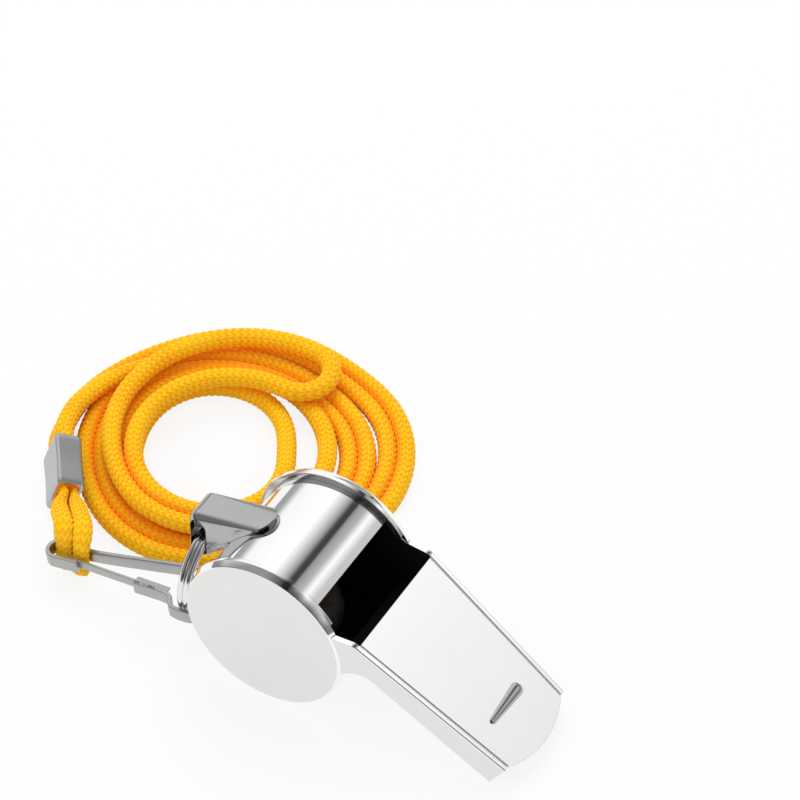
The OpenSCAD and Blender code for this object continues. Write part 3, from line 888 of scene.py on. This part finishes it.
# %% Side plates
def wall_y(x):
    """Half the width over the walls at a distance from the drum's axis."""
    return wall_neck_y - (x - wall_neck_x) * math.tan(taper)


def wall_in_y(x):
    """Half the width between the walls."""
    return wall_y(x) - plate_t / math.cos(taper)


def of_disc(shares):
    """A pair of shares of the disc's radius, in millimetres."""
    return shares[0] * disc_r, shares[1] * disc_r


def plate_disc(side):
    """The round face of a plate, with its turned rim cut open at the neck."""
    outer = arc((flat_r, half_w - edge_r), edge_r, slant, 90, round_steps)
    face_in, rim_in = half_w - plate_t, half_w - rim_w
    slant_r = flat_r + edge_r * math.cos(math.radians(slant)) + slant_w * math.tan(math.radians(slant))
    slant_end = (slant_r, outer[0][1] - slant_w)
    disc_profile = [(axis_r, face_in), (barrel_r, face_in), slant_end] + outer + [(axis_r, half_w)]
    disc = turned("disc", [(r, side * y) for r, y in disc_profile], 0, 360)
    lip = arc((slant_r - lip_r, rim_in + lip_r), lip_r, -90, 0, round_steps)
    inner_r = barrel_r + solder_gap
    rim_profile = [(inner_r, face_in), (inner_r, rim_in)] + lip + [slant_end]
    rim = turned("rim", [(r, side * y) for r, y in rim_profile], rim_end_angle,
                 360 + neck_angle - rim_open_angle)
    return combine(disc, rim, "UNION")


def plate_wall(side):
    """The flat wall of a plate, which leans in towards the mouthpiece's tip."""
    corner, dip = of_disc(neck_corner_shares), of_disc(neck_dip_shares)
    outline = [(dip[0] - neck_lap[0], dip[1] - neck_lap[1]), dip,
               (lip_x - roof_step[0], roof_z - roof_step[1]), (lip_x, roof_z), (wall_tip_x, roof_z),
               (wall_tip_x, tip_low_z), (floor_start_x, tip_low_z + floor_rise),
               of_disc(neck_bend_shares[1]), of_disc(neck_bend_shares[0]), corner,
               (corner[0] - neck_lap[0], corner[1] - neck_lap[1])]

    def lean_in(x, y, z):
        along, depth = x - wall_neck_x, y - wall_neck_y
        x_there = wall_neck_x + along * math.cos(taper) + depth * math.sin(taper)
        y_there = wall_neck_y + depth * math.cos(taper) - along * math.sin(taper)
        return on_whistle(x_there, side * y_there, z)

    wall = flat_shape("wall", outline, wall_neck_y - plate_t, wall_neck_y, lean_in)
    round_long_edges(wall, wall_round, round_steps)
    return round_edges(wall, edge_round, edge_steps, square_angle)


plates = {}
plate_names = {-1: ("near_side_plate", "near_plate_shell"), 1: ("far_side_plate", "far_plate_shell")}
for side, (node, name) in plate_names.items():
    shell = combine(plate_disc(side), plate_wall(side), "UNION")
    shell.name = shell.data.name = name
    plates[node] = settle(finish_normals(shell), "whistle", [node])
    print(shell.name, len(shell.data.polygons), "faces")

# %% [markdown]
# The barrel is one long strip: it starts at the blade edge above the window, goes round the back
# of the drum, up the neck and on as the floor of the mouthpiece. Inside the drum its width is
# that between the plates, and along the mouthpiece that between the walls. It is bent along its
# middle line, as the real strip is, because a block cut to shape would be thinner at the bends.

# %% Barrel band
blade_angle, band_end_angle, drum_steps = 80, 24, 220
neck_inset, floor_step = 0.55, 0.6
barrel_mid_r = barrel_r - barrel_t / 2
neck_lean_shares = ((-0.3, 0.9), (-0.7, 0.8), (-0.5, 0.9))


def barrel_band():
    """The barrel's sheet, with its floor joined to it."""
    drum = arc((0, 0), barrel_mid_r, blade_angle, 360 + band_end_angle, drum_steps)
    band = bent_strip("barrel_sheet", drum, barrel_t, [inner_w / 2] * len(drum), edge_round, on_whistle)
    corners = [of_disc(pair) for pair in (neck_corner_shares, *neck_bend_shares)]
    leans = zip(corners, neck_lean_shares)
    neck = [(x + neck_inset * a, z + neck_inset * b) for (x, z), (a, b) in leans]
    floor_z = tip_low_z + barrel_t / 2
    line = drum[-1:] + neck + [(floor_start_x, tip_low_z + floor_rise + barrel_t / 2), (tip_x, floor_z)]
    fine = smooth(line, floor_step)[0]
    halves = [wall_in_y(max(x, wall_neck_x)) - solder_gap for x, z in fine]
    floor = bent_strip("floor", fine, barrel_t, halves, edge_round, on_whistle)
    return combine(band, floor, "UNION")


barrel = settle(finish_normals(barrel_band()), "whistle", ["barrel_band"])
print("barrel faces:", len(barrel.data.polygons))

# %% [markdown]
# The roof is a flat plate whose end is rounded and stands over the walls. Near its end a moulded
# rib, round on the far side and pointed on the near side, keeps it between the teeth. The rib
# could be sculpted, but the hull of a large ball and a small one has its form from two radii.

# %% Rib between the teeth
rib_l = 8.2
rib_share, rib_r, rib_h = 0.79, 1.25, 0.45
rib_point_r, rib_point_h = 0.6, 0.25
ball_steps = 24
weld = 0.001


def ball_points(center, radius):
    """Points of a ball in the whistle's frame."""
    points = []
    for i in range(ball_steps + 1):
        lift = math.pi * (i / ball_steps - 0.5)
        for x, y in arc(center, radius * math.cos(lift), 0, 360, 2 * ball_steps)[:-1]:
            points.append((x, y, center[2] + radius * math.sin(lift)))
    return points


def hull_of(name, points):
    """The convex hull of points in metres, as a closed mesh object."""
    shape = bmesh.new()
    for point in points:
        shape.verts.new(point)
    bmesh.ops.remove_doubles(shape, verts=shape.verts, dist=weld * MM)
    made = bmesh.ops.convex_hull(shape, input=shape.verts)
    spare = [v for v in made["geom_interior"] if isinstance(v, bmesh.types.BMVert)]
    bmesh.ops.delete(shape, geom=spare, context="VERTS")
    mesh = bpy.data.meshes.new(name)
    shape.to_mesh(mesh)
    shape.free()
    return outward(linked(name, mesh))


def bite_rib():
    """The rib: the hull of a large ball and a small one, cut off inside the roof."""
    rib_x = lip_x + rib_share * (tip_x - lip_x)
    thick_end = (rib_x, rib_l / 2 - rib_r, roof_z + rib_h - rib_r)
    point_end = (rib_x, -rib_l / 2 + rib_point_r, roof_z + rib_point_h - rib_point_r)
    cloud = ball_points(thick_end, rib_r) + ball_points(point_end, rib_point_r)
    return hull_of("rib", [on_whistle(x, y, max(z, roof_z - roof_t / 2)) for x, y, z in cloud])


print("points of a rib's ball:", len(ball_points((0, 0, 0), rib_r)))

# %% Mouthpiece roof
roof_round = 0.28
tip_steps = 48


def mouthpiece_roof():
    """The roof with its rounded end and its rib."""
    end_y, lip_y = wall_in_y(tip_x) - solder_gap, wall_in_y(lip_x) - solder_gap
    end_r = (end_y ** 2 + roof_bulge ** 2) / (2 * roof_bulge)
    sweep = math.degrees(math.asin(end_y / end_r))
    tip = arc((tip_x + roof_bulge - end_r, 0), end_r, -sweep, sweep, tip_steps)
    outline = [(lip_x, lip_y), (lip_x, -lip_y)] + tip
    roof = flat_shape("roof_plate", outline, roof_z - roof_t, roof_z, lambda x, z, y: on_whistle(x, y, z))
    round_long_edges(roof, roof_round, round_steps)
    round_edges(roof, edge_round, edge_steps, square_angle)
    return combine(roof, bite_rib(), "UNION")


roof = settle(finish_normals(mouthpiece_roof()), "whistle", ["mouthpiece_roof"])
print("roof faces:", len(roof.data.polygons))

# %% [markdown]
# The tab is a hood of bent sheet soldered to the back of the barrel. It is the hull of a round
# leaf on the barrel and of the two ends of the eye, hollowed by a smaller hull. Its near end is
# well rounded and its far end nearly square. The barrel's own cylinder trims it, and the eye's
# slot opens both of its sides for the ring.

# %% Hood of the ring tab
tab_w, tab_y = 5.2, -0.6
eye_up, eye_down, eye_lip = 2.3, 1.5, 0.1
leaf_angle, leaf_r, leaf_h, leaf_sink = math.radians(-31), 2.5, 0.3, 0.2
far_round, near_round, hood_rings = 0.16, 1.7, 9
hood_steps, eye_steps = 64, 32
tab_sharp = 28
eye_middle = (ring_x - eye_back, eye_z)


def hood_points(inset, width, leaf_top, ends):
    """Points of the hood's hull, in metres: ends are the roundings of its far and near side."""
    points = []
    for side, rounding in zip((1, -1), ends):
        for a in np.linspace(0, math.pi / 2, hood_rings):
            end_r = eye_w / 2 + tab_t - inset - rounding * (1 - math.sin(a))
            y = tab_y + side * (width / 2 - rounding * (1 - math.cos(a)))
            for lift in (eye_up, -eye_down):
                circle = arc((eye_middle[0], eye_middle[1] + lift), end_r, 0, 360, hood_steps)
                points += [on_table(x, y, z) for x, z in circle]
    for height in (leaf_top - leaf_h, leaf_top):
        for x, y in arc((0, 0), leaf_r - inset, 0, 360, hood_steps):
            lean_x = x * math.cos(leaf_angle) + height * math.sin(leaf_angle)
            lean_z = -x * math.sin(leaf_angle) + height * math.cos(leaf_angle)
            points.append(on_table(lean_x, y + tab_y, disc_r + lean_z))
    return points


tab_foot_r = barrel_r + solder_gap
outer_hood = hood_points(0, tab_w, tab_foot_r + tab_t, (far_round, near_round))
inner_hood = hood_points(tab_t, tab_w - 2 * tab_t, barrel_r - leaf_sink, (0, near_round - tab_t))
print("points of the hood:", len(outer_hood), "and of its hollow:", len(inner_hood))

# %% Ring tab
def ring_tab():
    """The hood with its hollow, its trim along the barrel and its eye."""
    hood = combine(hull_of("tab_hood", outer_hood), hull_of("hollow", inner_hood), "DIFFERENCE")
    core_profile = [(axis_r, -tab_w), (tab_foot_r, -tab_w), (tab_foot_r, tab_w), (axis_r, tab_w)]
    combine(hood, turned("core", core_profile, 0, 360), "DIFFERENCE")
    slot_r = eye_w / 2 - eye_lip
    outline = arc((eye_middle[0], eye_middle[1] + eye_up), slot_r, 0, 180, eye_steps)
    outline += arc((eye_middle[0], eye_middle[1] - eye_down), slot_r, 180, 360, eye_steps)
    return combine(hood, flat_shape("slot", outline, -2 * tab_w, 2 * tab_w, on_table), "DIFFERENCE")


tab = settle(finish_normals(ring_tab(), tab_sharp), "whistle", ["ring_tab"])
print("tab faces:", len(tab.data.polygons))

# %% [markdown]
# The split ring is one wire wound twice round. It runs as a helix: most of each turn lies in
# its own plane, and the wire crosses to the other plane on a short stretch. Both ends are cut.
# Two closed rings side by side would be simpler, but they would lack the crossing and the ends.

# %% Split ring
coil_step = 0.98
ring_start, ring_sweep, ring_steps = 205, 708, 360
cross_width = 16
wire_sides, tube_sharp = 20, 50


def wire_tube(name, line, radius, sides, place):
    """A round wire along a line, with caps."""
    line = np.array(line, float)
    ahead = np.gradient(line, axis=0)
    ahead /= np.linalg.norm(ahead, axis=1)[:, None]
    side = np.cross(ahead, np.array([1.0, 0, 0]))
    side /= np.linalg.norm(side, axis=1)[:, None]
    up = np.cross(side, ahead)
    vertices = []
    for point, s, u in zip(line, side, up):
        for i in range(sides):
            a = 2 * math.pi * i / sides
            vertices.append(place(*(point + radius * (math.cos(a) * s + math.sin(a) * u))))
    return mesh_object(name, vertices, tube_faces(len(line), sides))


def split_ring():
    """Two turns of wire with a crossing between them."""
    line = []
    for k in range(ring_steps + 1):
        passed = ring_sweep * k / ring_steps
        a = math.radians(ring_start + passed)
        crossed = 1 / (1 + math.exp(-(passed - ring_sweep / 2) / cross_width))
        x = ring_x + (crossed - 0.5) * coil_step
        line.append((x, ring_r * math.cos(a), ring_z + ring_r * math.sin(a)))
    return wire_tube("ring_wire", line, wire_d / 2, wire_sides, on_table)


ring = settle(finish_normals(split_ring(), tube_sharp), "ring", ["split_ring"])
print("ring points:", len(ring.data.vertices))

# %% [markdown]
# The clip is one strip of spring steel, bent in its own plane: a channel for the gate, a hook
# round the ring, a long back leg, a round nose and a short return. A second, thinner strip is
# the gate, whose free end lies in the channel between two small lips. The strip's line is a
# smooth curve through a few chosen points, because spring steel is never bent to a sharp corner.

# %% Sizes of the clip
clip_l, strip_h, strip_t, nose_r, gate_t = 21.4, 1.9, 0.6, 1.6, 0.4
hook_z, nose_z = ring_z - hook_drop, 3.9
clip_rise = math.asin((hook_z - nose_z) / clip_l)
ring_play, drum_gap = 0.3, 0.5
drum_back_x = -math.sqrt(barrel_r ** 2 - (disc_r - hook_z - strip_h / 2) ** 2) - ring_x
end_x = drum_back_x - drum_gap - strip_t / 2
bulge_y = -wire_d / 2 - ring_play - strip_t / 2
channel_y, channel_x = 0.85, (-8.4, -3.2)
back_x, back_y, back_fall = -3.4, 6.7, 0.2
nose_y, nose_back_x, nose_lead, return_l = 2.1, 5, 0.1, 3.7
nose_start, nose_end, nose_steps = 75, 270, 12
gate_gap, gate_h, gate_x, lip_w = 0.06, 1.25, (-19.9, -4.2), 0.8
lip_t = (strip_h - gate_h) / 2 - gate_gap
gate_y = channel_y + strip_t / 2 + gate_gap + gate_t / 2
bulge_shares = [(-0.6, 0.42), (-0.36, 0.9), (0.28, 1), (0.66, 0.72), (0.92, 0.1)]
bend_shares = [(1, 0.35), (0.88, 0.7), (0.5, 0.94), (-0.1, 1.01)]
clip_step, gate_steps = 0.25, 24
strip_round, gate_round, lip_round, lip_steps = 0.1, 0.07, 0.06, 2
print("rise of the clip in degrees:", round(math.degrees(clip_rise), 2))

# %% Snap clip
def on_clip(x, across, y):
    """A point of the clip's plane: across is its height over the plane, y its far side."""
    rise_x = x * math.cos(clip_rise) - across * math.sin(clip_rise)
    rise_z = x * math.sin(clip_rise) + across * math.cos(clip_rise)
    return on_table(ring_x + rise_x, hook_y + y, hook_z + rise_z)


def clip_line():
    """The middle line of the bent strip, from the channel round to the short return."""
    rows = [(channel_x[0], channel_y), (channel_x[1], channel_y)]
    rows += [(a * end_x, b * bulge_y) for a, b in bulge_shares]
    rows += [(a * end_x, b * back_y) for a, b in bend_shares]
    rows += [(back_x, back_y - back_fall), (-clip_l + nose_back_x, nose_y + nose_r - nose_lead)]
    rows += arc((-clip_l, nose_y), nose_r, nose_start, nose_end, nose_steps)
    return smooth(rows + [(-clip_l + return_l, channel_y)], clip_step)[0]


def clip_hook():
    """The bent strip with its two lips."""
    line = clip_line()
    strip = bent_strip("clip_strip", line, strip_t, [strip_h / 2] * len(line), strip_round, on_clip)
    lip_top = channel_y + strip_t / 2 + lip_w
    outline = [(channel_x[0], channel_y), (channel_x[1], channel_y), (channel_x[1], lip_top),
               (channel_x[0], lip_top)]
    for side in (-1, 1):
        middle = side * (strip_h - lip_t) / 2
        lip = flat_shape("lip", outline, middle - lip_t / 2, middle + lip_t / 2, on_clip)
        combine(strip, round_edges(lip, lip_round, lip_steps), "UNION")
    return strip


def clip_gate():
    """The sprung strip that closes the clip."""
    line = [(x, gate_y) for x in np.linspace(*gate_x, gate_steps + 1)]
    return bent_strip("gate_strip", line, gate_t, [gate_h / 2] * len(line), gate_round, on_clip)


hook = settle(finish_normals(clip_hook()), "lanyard", ["clip_hook"])
gate = settle(finish_normals(clip_gate()), "gate", ["clip_gate"])
print("clip faces:", len(hook.data.polygons), len(gate.data.polygons))

# %% [markdown]
# The ferrule is a short sleeve, squeezed round the four strands of cord. Its section is a box
# with soft corners. The press leaves its flat faces a little hollow in the middle. A bevelled
# box would be too true, so the section is set again and again along the sleeve, and drawn in.

# %% Ferrule
sleeve_round, bore_round, corner_steps = 0.5, 0.12, 5
sleeve_steps, sleeve_dip = 24, 0.07
mouth_share, mouth_steepness = 0.25, 14


def rounded_box(width, height, radius):
    """A section with round corners, as pairs of across and up."""
    section = []
    for x, z, first in ((1, 1, 0), (-1, 1, 90), (-1, -1, 180), (1, -1, 270)):
        center = (x * (width / 2 - radius), z * (height / 2 - radius))
        section += arc(center, radius, first, first + 90, corner_steps)
    return section


def ferrule_sleeve():
    """The sleeve: an outer and an inner skin, joined at both ends."""
    outer = rounded_box(ferrule_w, ferrule_h, sleeve_round)
    inner = rounded_box(ferrule_w - 2 * ferrule_t, ferrule_h - 2 * ferrule_t, bore_round)
    n = len(outer)
    vertices = []
    for k in range(sleeve_steps + 1):
        share = k / sleeve_steps
        dip = sleeve_dip * math.sin(math.pi * share) ** 2
        to_mouth = max(0, 1 - min(share, 1 - share) * mouth_steepness)
        for section, pull in ((outer, dip + ferrule_t * mouth_share * to_mouth ** 2), (inner, 0)):
            for y, z in section:
                y_there, z_there = y * (1 - 2 * pull / ferrule_w), z * (1 - 2 * pull / ferrule_h)
                point = in_ferrule(share * ferrule_l, y_there, ferrule_h / 2 + z_there)
                vertices.append(on_table(*point))
    faces = []
    end = 2 * n * sleeve_steps
    pairs = [(i, (i + 1) % n) for i in range(n)]
    for a in range(0, end, 2 * n):
        b = a + 2 * n
        for i, j in pairs:
            faces += [(a + i, a + j, b + j, b + i), (a + n + j, a + n + i, b + n + i, b + n + j)]
    faces += [(n + i, n + j, j, i) for i, j in pairs]
    faces += [(end + i, end + j, end + n + j, end + n + i) for i, j in pairs]
    return mesh_object("ferrule_sleeve", vertices, faces)


sleeve = settle(finish_normals(ferrule_sleeve(), tube_sharp), "lanyard", ["ferrule"])
print("sleeve faces:", len(sleeve.data.polygons))

# %% [markdown]
# The pea is a ball of ground cork. Its outline is not quite round: shallow pits where the grain
# broke out give it a rough edge. A bump map would leave that edge smooth, so the ball's own
# points are moved. It lies at the bottom of the drum and shows in the window.

# %% Pea
pea_share, pea_gap = 0.54, 0.3
pea_d = 2 * pea_share * chamber_r
pea_offset = chamber_r - pea_d / 2 - pea_gap
pea_detail, pea_seed = 5, 7
pit_count, pit_widths, pit_depth = 90, (0.05, 0.14), 0.22


def pea_ball():
    """A cork ball with pits, never larger than the real one."""
    shape = bmesh.new()
    bmesh.ops.create_icosphere(shape, subdivisions=pea_detail, radius=1)
    rng = np.random.default_rng(pea_seed)
    pits = rng.normal(size=(pit_count, 3))
    pits /= np.linalg.norm(pits, axis=1)[:, None]
    widths = rng.uniform(*pit_widths, len(pits))
    middle = on_table(0, 0, disc_r - pea_offset)
    for v in shape.verts:
        off = np.linalg.norm(pits - np.array(v.co), axis=1) / widths
        sunk = min(float(np.exp(-off ** 2).sum()), 1) * pit_depth
        v.co = middle + v.co * (pea_d / 2 - sunk) * MM
    mesh = bpy.data.meshes.new("cork_pea")
    shape.to_mesh(mesh)
    shape.free()
    mesh.shade_smooth()
    return linked("cork_pea", mesh)


pea = settle(pea_ball(), "rolling_pea", ["pea"])
print("pea points:", len(pea.data.vertices))

# %% [markdown]
# This cork lies in the drum's shade, and its grains are three deep browns: the cork's own grain,
# painted dark as shade. They are the cells of a Voronoi pattern, each with one tone, because a noise
# would blur one grain into the next.

# %% Cork in painted shade
grain_scale, grain_rough, grain_bump, grain_depth = 900, 0.85, 0.6, 0.15
# The browns are painted shade: the cork's grain tones, darkened for the drum's shade.
grain_browns_in_painted_shade = [(0.1, (0.02, 0.015, 0.012)), (0.5, (0.045, 0.036, 0.03)), (0.9, (0.07, 0.058, 0.048))]


def cork_finish():
    """Cork: cells of three browns with a soft bump between them."""
    tree, shader = new_material("cork")
    cells = add_node(tree, "ShaderNodeTexVoronoi")
    cells.inputs["Scale"].default_value = grain_scale
    place = add_node(tree, "ShaderNodeTexCoord")
    tree.links.new(place.outputs["Object"], cells.inputs["Vector"])
    grain = add_node(tree, "ShaderNodeSeparateColor")
    tree.links.new(cells.outputs["Color"], grain.inputs[0])
    tree.links.new(ramp(tree, grain.outputs[0], grain_browns_in_painted_shade), shader.inputs["Base Color"])
    shader.inputs["Roughness"].default_value = grain_rough
    add_relief(tree, shader, cells.outputs["Distance"], grain_bump, grain_depth)


cork_finish()
pea.data.materials.append(materials["cork"])
print("browns in the cork:", len(grain_browns_in_painted_shade))

# %% [markdown]
# The finishes go onto the faces. Faces of the whistle that look into the drum get the painted
# shade inside, and the large flat face of each plate gets the softer polish of a pressed sheet. They
# are told apart by their place and direction, so that each sheet can stay one mesh.

# %% Finishes on the faces
flat_share = 0.98


def is_inside(center, normal):
    """True for a face of the chamber or of the windway."""
    x, y, z = in_whistle(center)
    off = center - drum_axis
    facing = Vector((off.x, 0, off.z)).dot(normal) < 0 or abs(normal.y) > flat_share
    if math.hypot(x, z) < barrel_r - barrel_t / 2 and abs(y) < half_w - plate_t / 2 and facing:
        return True
    near_roof = z < roof_z - roof_t / 2 if x < lip_x + roof_t else z < roof_z - roof_t + skin
    upward = normal.x * math.sin(tilt) + normal.z * math.cos(tilt)
    near_floor = z > tip_low_z + barrel_t - skin or upward > 1 - flat_share
    return wall_neck_x < x < tip_x and abs(y) < wall_in_y(x) + skin and near_roof and near_floor


def paint(piece, outer, face=None):
    """Puts a finish on a piece, the face finish on flat sides and the painted shade inside."""
    piece.data.materials.clear()
    for name in (outer, "painted_shade_inside", face or outer):
        piece.data.materials.append(materials[name])
    for polygon in piece.data.polygons:
        if is_inside(polygon.center, polygon.normal):
            polygon.material_index = 1
        else:
            polygon.material_index = 2 if abs(polygon.normal.y) > flat_share else 0


for shell in plates.values():
    paint(shell, "polished_steel", "polished_face")
paint(barrel, "polished_steel")
paint(roof, "polished_steel", "tab_steel")
# The rib's faces take the darker tab steel: painted shade for the dark reflection along the rib's side.
for polygon in roof.data.polygons:
    if in_whistle(polygon.center)[2] > roof_z + skin / 4:
        polygon.material_index = 2
kept_nodes = (nodes["windway_floor"], nodes["cord_in_ferrule"])
for piece in kept_nodes:
    piece.data.materials.clear()
# The windway floor takes the painted shade inside as well.
one_finish = ((tab, "tab_steel"), (ring, "wire_steel"), (hook, "drawn_strip"), (gate, "drawn_strip"),
              (sleeve, "satin_sleeve"), (kept_nodes[0], "painted_shade_inside"), (kept_nodes[1], "cord_dye_and_painted_shade"))
for piece, name in one_finish:
    piece.data.materials.append(materials[name])
print("finishes on", len(plates) + 2 + len(one_finish), "pieces")

# %% [markdown]
# Polished metal shows its surroundings, so the room matters as much as the metal. The light is
# plain for dull surfaces. For reflections the room is a studio: bright to the left and right of
# overhead, with one narrow dark strip there, which draws the dark line along the barrel, and
# with walls behind the camera and near the floor that are darker. Its brightness depends only on
# the direction in the world, so it stays where it is when the camera moves.

# %% Studio for reflections
strip_middle, strip_half = 11.5, 3.2
# Each band is an angle from overhead towards the mouthpiece, in degrees, and its brightness.
bands = [(-90, 0.95), (-18, 1.1), (-7, 0.72), (2, 0.38), (strip_middle - strip_half, 0.06),
         (strip_middle + strip_half, 0.05), (18, 0.33), (29, 0.5), (38, 1.09), (50, 0.6)]
turn_to_right = [(12, 0), (24, 1)]
# Each wall is a place from the near side, 0, to the far side, 1, and its brightness.
left_wall = [(0.42, 0.28), (0.54, 0.75), (0.62, 1)]
right_wall = [(0.22, 0.06), (0.34, 0.3), (0.4, 1)]
# The level's places go from straight down, 0, to straight up, 1.
level = [(0.5, 0.36), (0.58, 0.42), (0.66, 1)]


def greys(tree, value, stops):
    """A ramp of greys over value, from stops of place and brightness."""
    return ramp(tree, value, [(place, (grey,) * 3) for place, grey in stops])


def greys_overhead(tree, turn_share, stops):
    """A ramp of greys over the angle from overhead, from stops in degrees."""
    return greys(tree, turn_share, [(degrees / 180 + 0.5, grey) for degrees, grey in stops])


def studio_colour(tree):
    """The brightness of the studio in each direction, as a colour."""
    place = add_node(tree, "ShaderNodeTexCoord")
    parts = add_node(tree, "ShaderNodeSeparateXYZ")
    tree.links.new(place.outputs["Generated"], parts.inputs[0])
    angle = add_node(tree, "ShaderNodeMath", operation="ARCTAN2")
    tree.links.new(parts.outputs[0], angle.inputs[0])
    tree.links.new(parts.outputs[2], angle.inputs[1])
    turn_share = scaled(tree, angle.outputs[0], 1 / math.pi, 0.5)
    over_side = scaled(tree, parts.outputs[1], 0.5, 0.5)
    upwards = scaled(tree, parts.outputs[2], 0.5, 0.5)
    to_right = greys_overhead(tree, turn_share, turn_to_right)
    walls = mixed(tree, to_right, greys(tree, over_side, left_wall), greys(tree, over_side, right_wall))
    lower = mixed(tree, 1, walls, greys(tree, upwards, level), "MULTIPLY")
    return mixed(tree, 1, greys_overhead(tree, turn_share, bands), lower, "MULTIPLY")


print("bands in the studio:", len(bands))

# %% World
studio_light = 0.8
white = (1, 1, 1, 1)


def either(tree, first, second):
    """The larger of two masks."""
    node = add_node(tree, "ShaderNodeMath", operation="MAXIMUM")
    tree.links.new(first, node.inputs[0])
    tree.links.new(second, node.inputs[1])
    return node.outputs[0]


def mixed_shaders(tree, share, first, second):
    """Two shaders mixed by a share."""
    node = add_node(tree, "ShaderNodeMixShader")
    for i, value in enumerate((share, first, second)):
        tree.links.new(value, node.inputs[i])
    return node.outputs[0]


def make_world():
    """The world: white to the camera, plain light for dull surfaces, a studio for reflections."""
    world = bpy.data.worlds.new("studio")
    bpy.context.scene.world = world
    world.use_nodes = True
    tree = world.node_tree
    tree.nodes.clear()
    room, dull, empty = [add_node(tree, "ShaderNodeBackground") for _ in range(3)]
    tree.links.new(studio_colour(tree), room.inputs["Color"])
    dull.inputs["Strength"].default_value = studio_light
    dull.inputs["Color"].default_value = empty.inputs["Color"].default_value = white
    path = add_node(tree, "ShaderNodeLightPath")
    lit = mixed_shaders(tree, path.outputs["Is Glossy Ray"], dull.outputs[0], room.outputs[0])
    direct = either(tree, path.outputs["Is Camera Ray"], path.outputs["Is Transmission Ray"])
    out = add_node(tree, "ShaderNodeOutputWorld")
    tree.links.new(mixed_shaders(tree, direct, lit, empty.outputs[0]), out.inputs[0])
    return world


print("world:", make_world().name)

# %% [markdown]
# The floor is plain and white. To the camera and in reflections most of its brightness is its
# own, so that it stays white to the edges, and the rest is lit, which keeps the soft shadow.

# %% Floor
floor_half, own_light_share, lit_white = 3.0, 0.86, 0.9


def make_floor():
    """A large white floor that keeps a soft shadow."""
    tree = new_material("white_floor")[0]
    tree.nodes.clear()
    lit = add_node(tree, "ShaderNodeBsdfDiffuse")
    lit.inputs["Color"].default_value = (lit_white, lit_white, lit_white, 1)
    own = add_node(tree, "ShaderNodeEmission")
    own.inputs["Color"].default_value = white
    path = add_node(tree, "ShaderNodeLightPath")
    seen = either(tree, path.outputs["Is Camera Ray"], path.outputs["Is Glossy Ray"])
    through = either(tree, seen, path.outputs["Is Transmission Ray"])
    own_share = scaled(tree, through, own_light_share)
    out = add_node(tree, "ShaderNodeOutputMaterial")
    tree.links.new(mixed_shaders(tree, own_share, lit.outputs[0], own.outputs[0]), out.inputs[0])
    corners = [(x * floor_half, y * floor_half, 0) for x, y in ((-1, -1), (1, -1), (1, 1), (-1, 1))]
    floor = mesh_object("floor", corners, [(0, 1, 2, 3)])
    floor.data.materials.append(materials["white_floor"])
    return floor


print("floor:", make_floor().name)

# %% [markdown]
# Two large soft lamps light the dull surfaces: one high over the far side, as in the photograph,
# and a weak one from the near left. Both are large, so that shadows stay soft.

# %% Lamps
# Each lamp has its place and its side in metres, and its power in watts.
lamps = {"far_lamp": ((-0.25, 0.45, 0.75), 0.5, 2.6), "near_lamp": ((-0.5, -0.5, 0.5), 0.6, 0.8)}


def soft_lamp(name, place, size, watts):
    """A square area lamp that looks at the middle of the object."""
    data = bpy.data.lights.new(name, "AREA")
    data.size, data.energy = size, watts
    lamp = linked(name, data)
    lamp.location = place
    lamp.rotation_euler = (-Vector(place)).to_track_quat("-Z", "Y").to_euler()
    lamp.visible_glossy = False


for name, values in lamps.items():
    soft_lamp(name, *values)
bpy.context.scene.view_settings.view_transform = "Standard"

# %% The end
print("end of the scene")
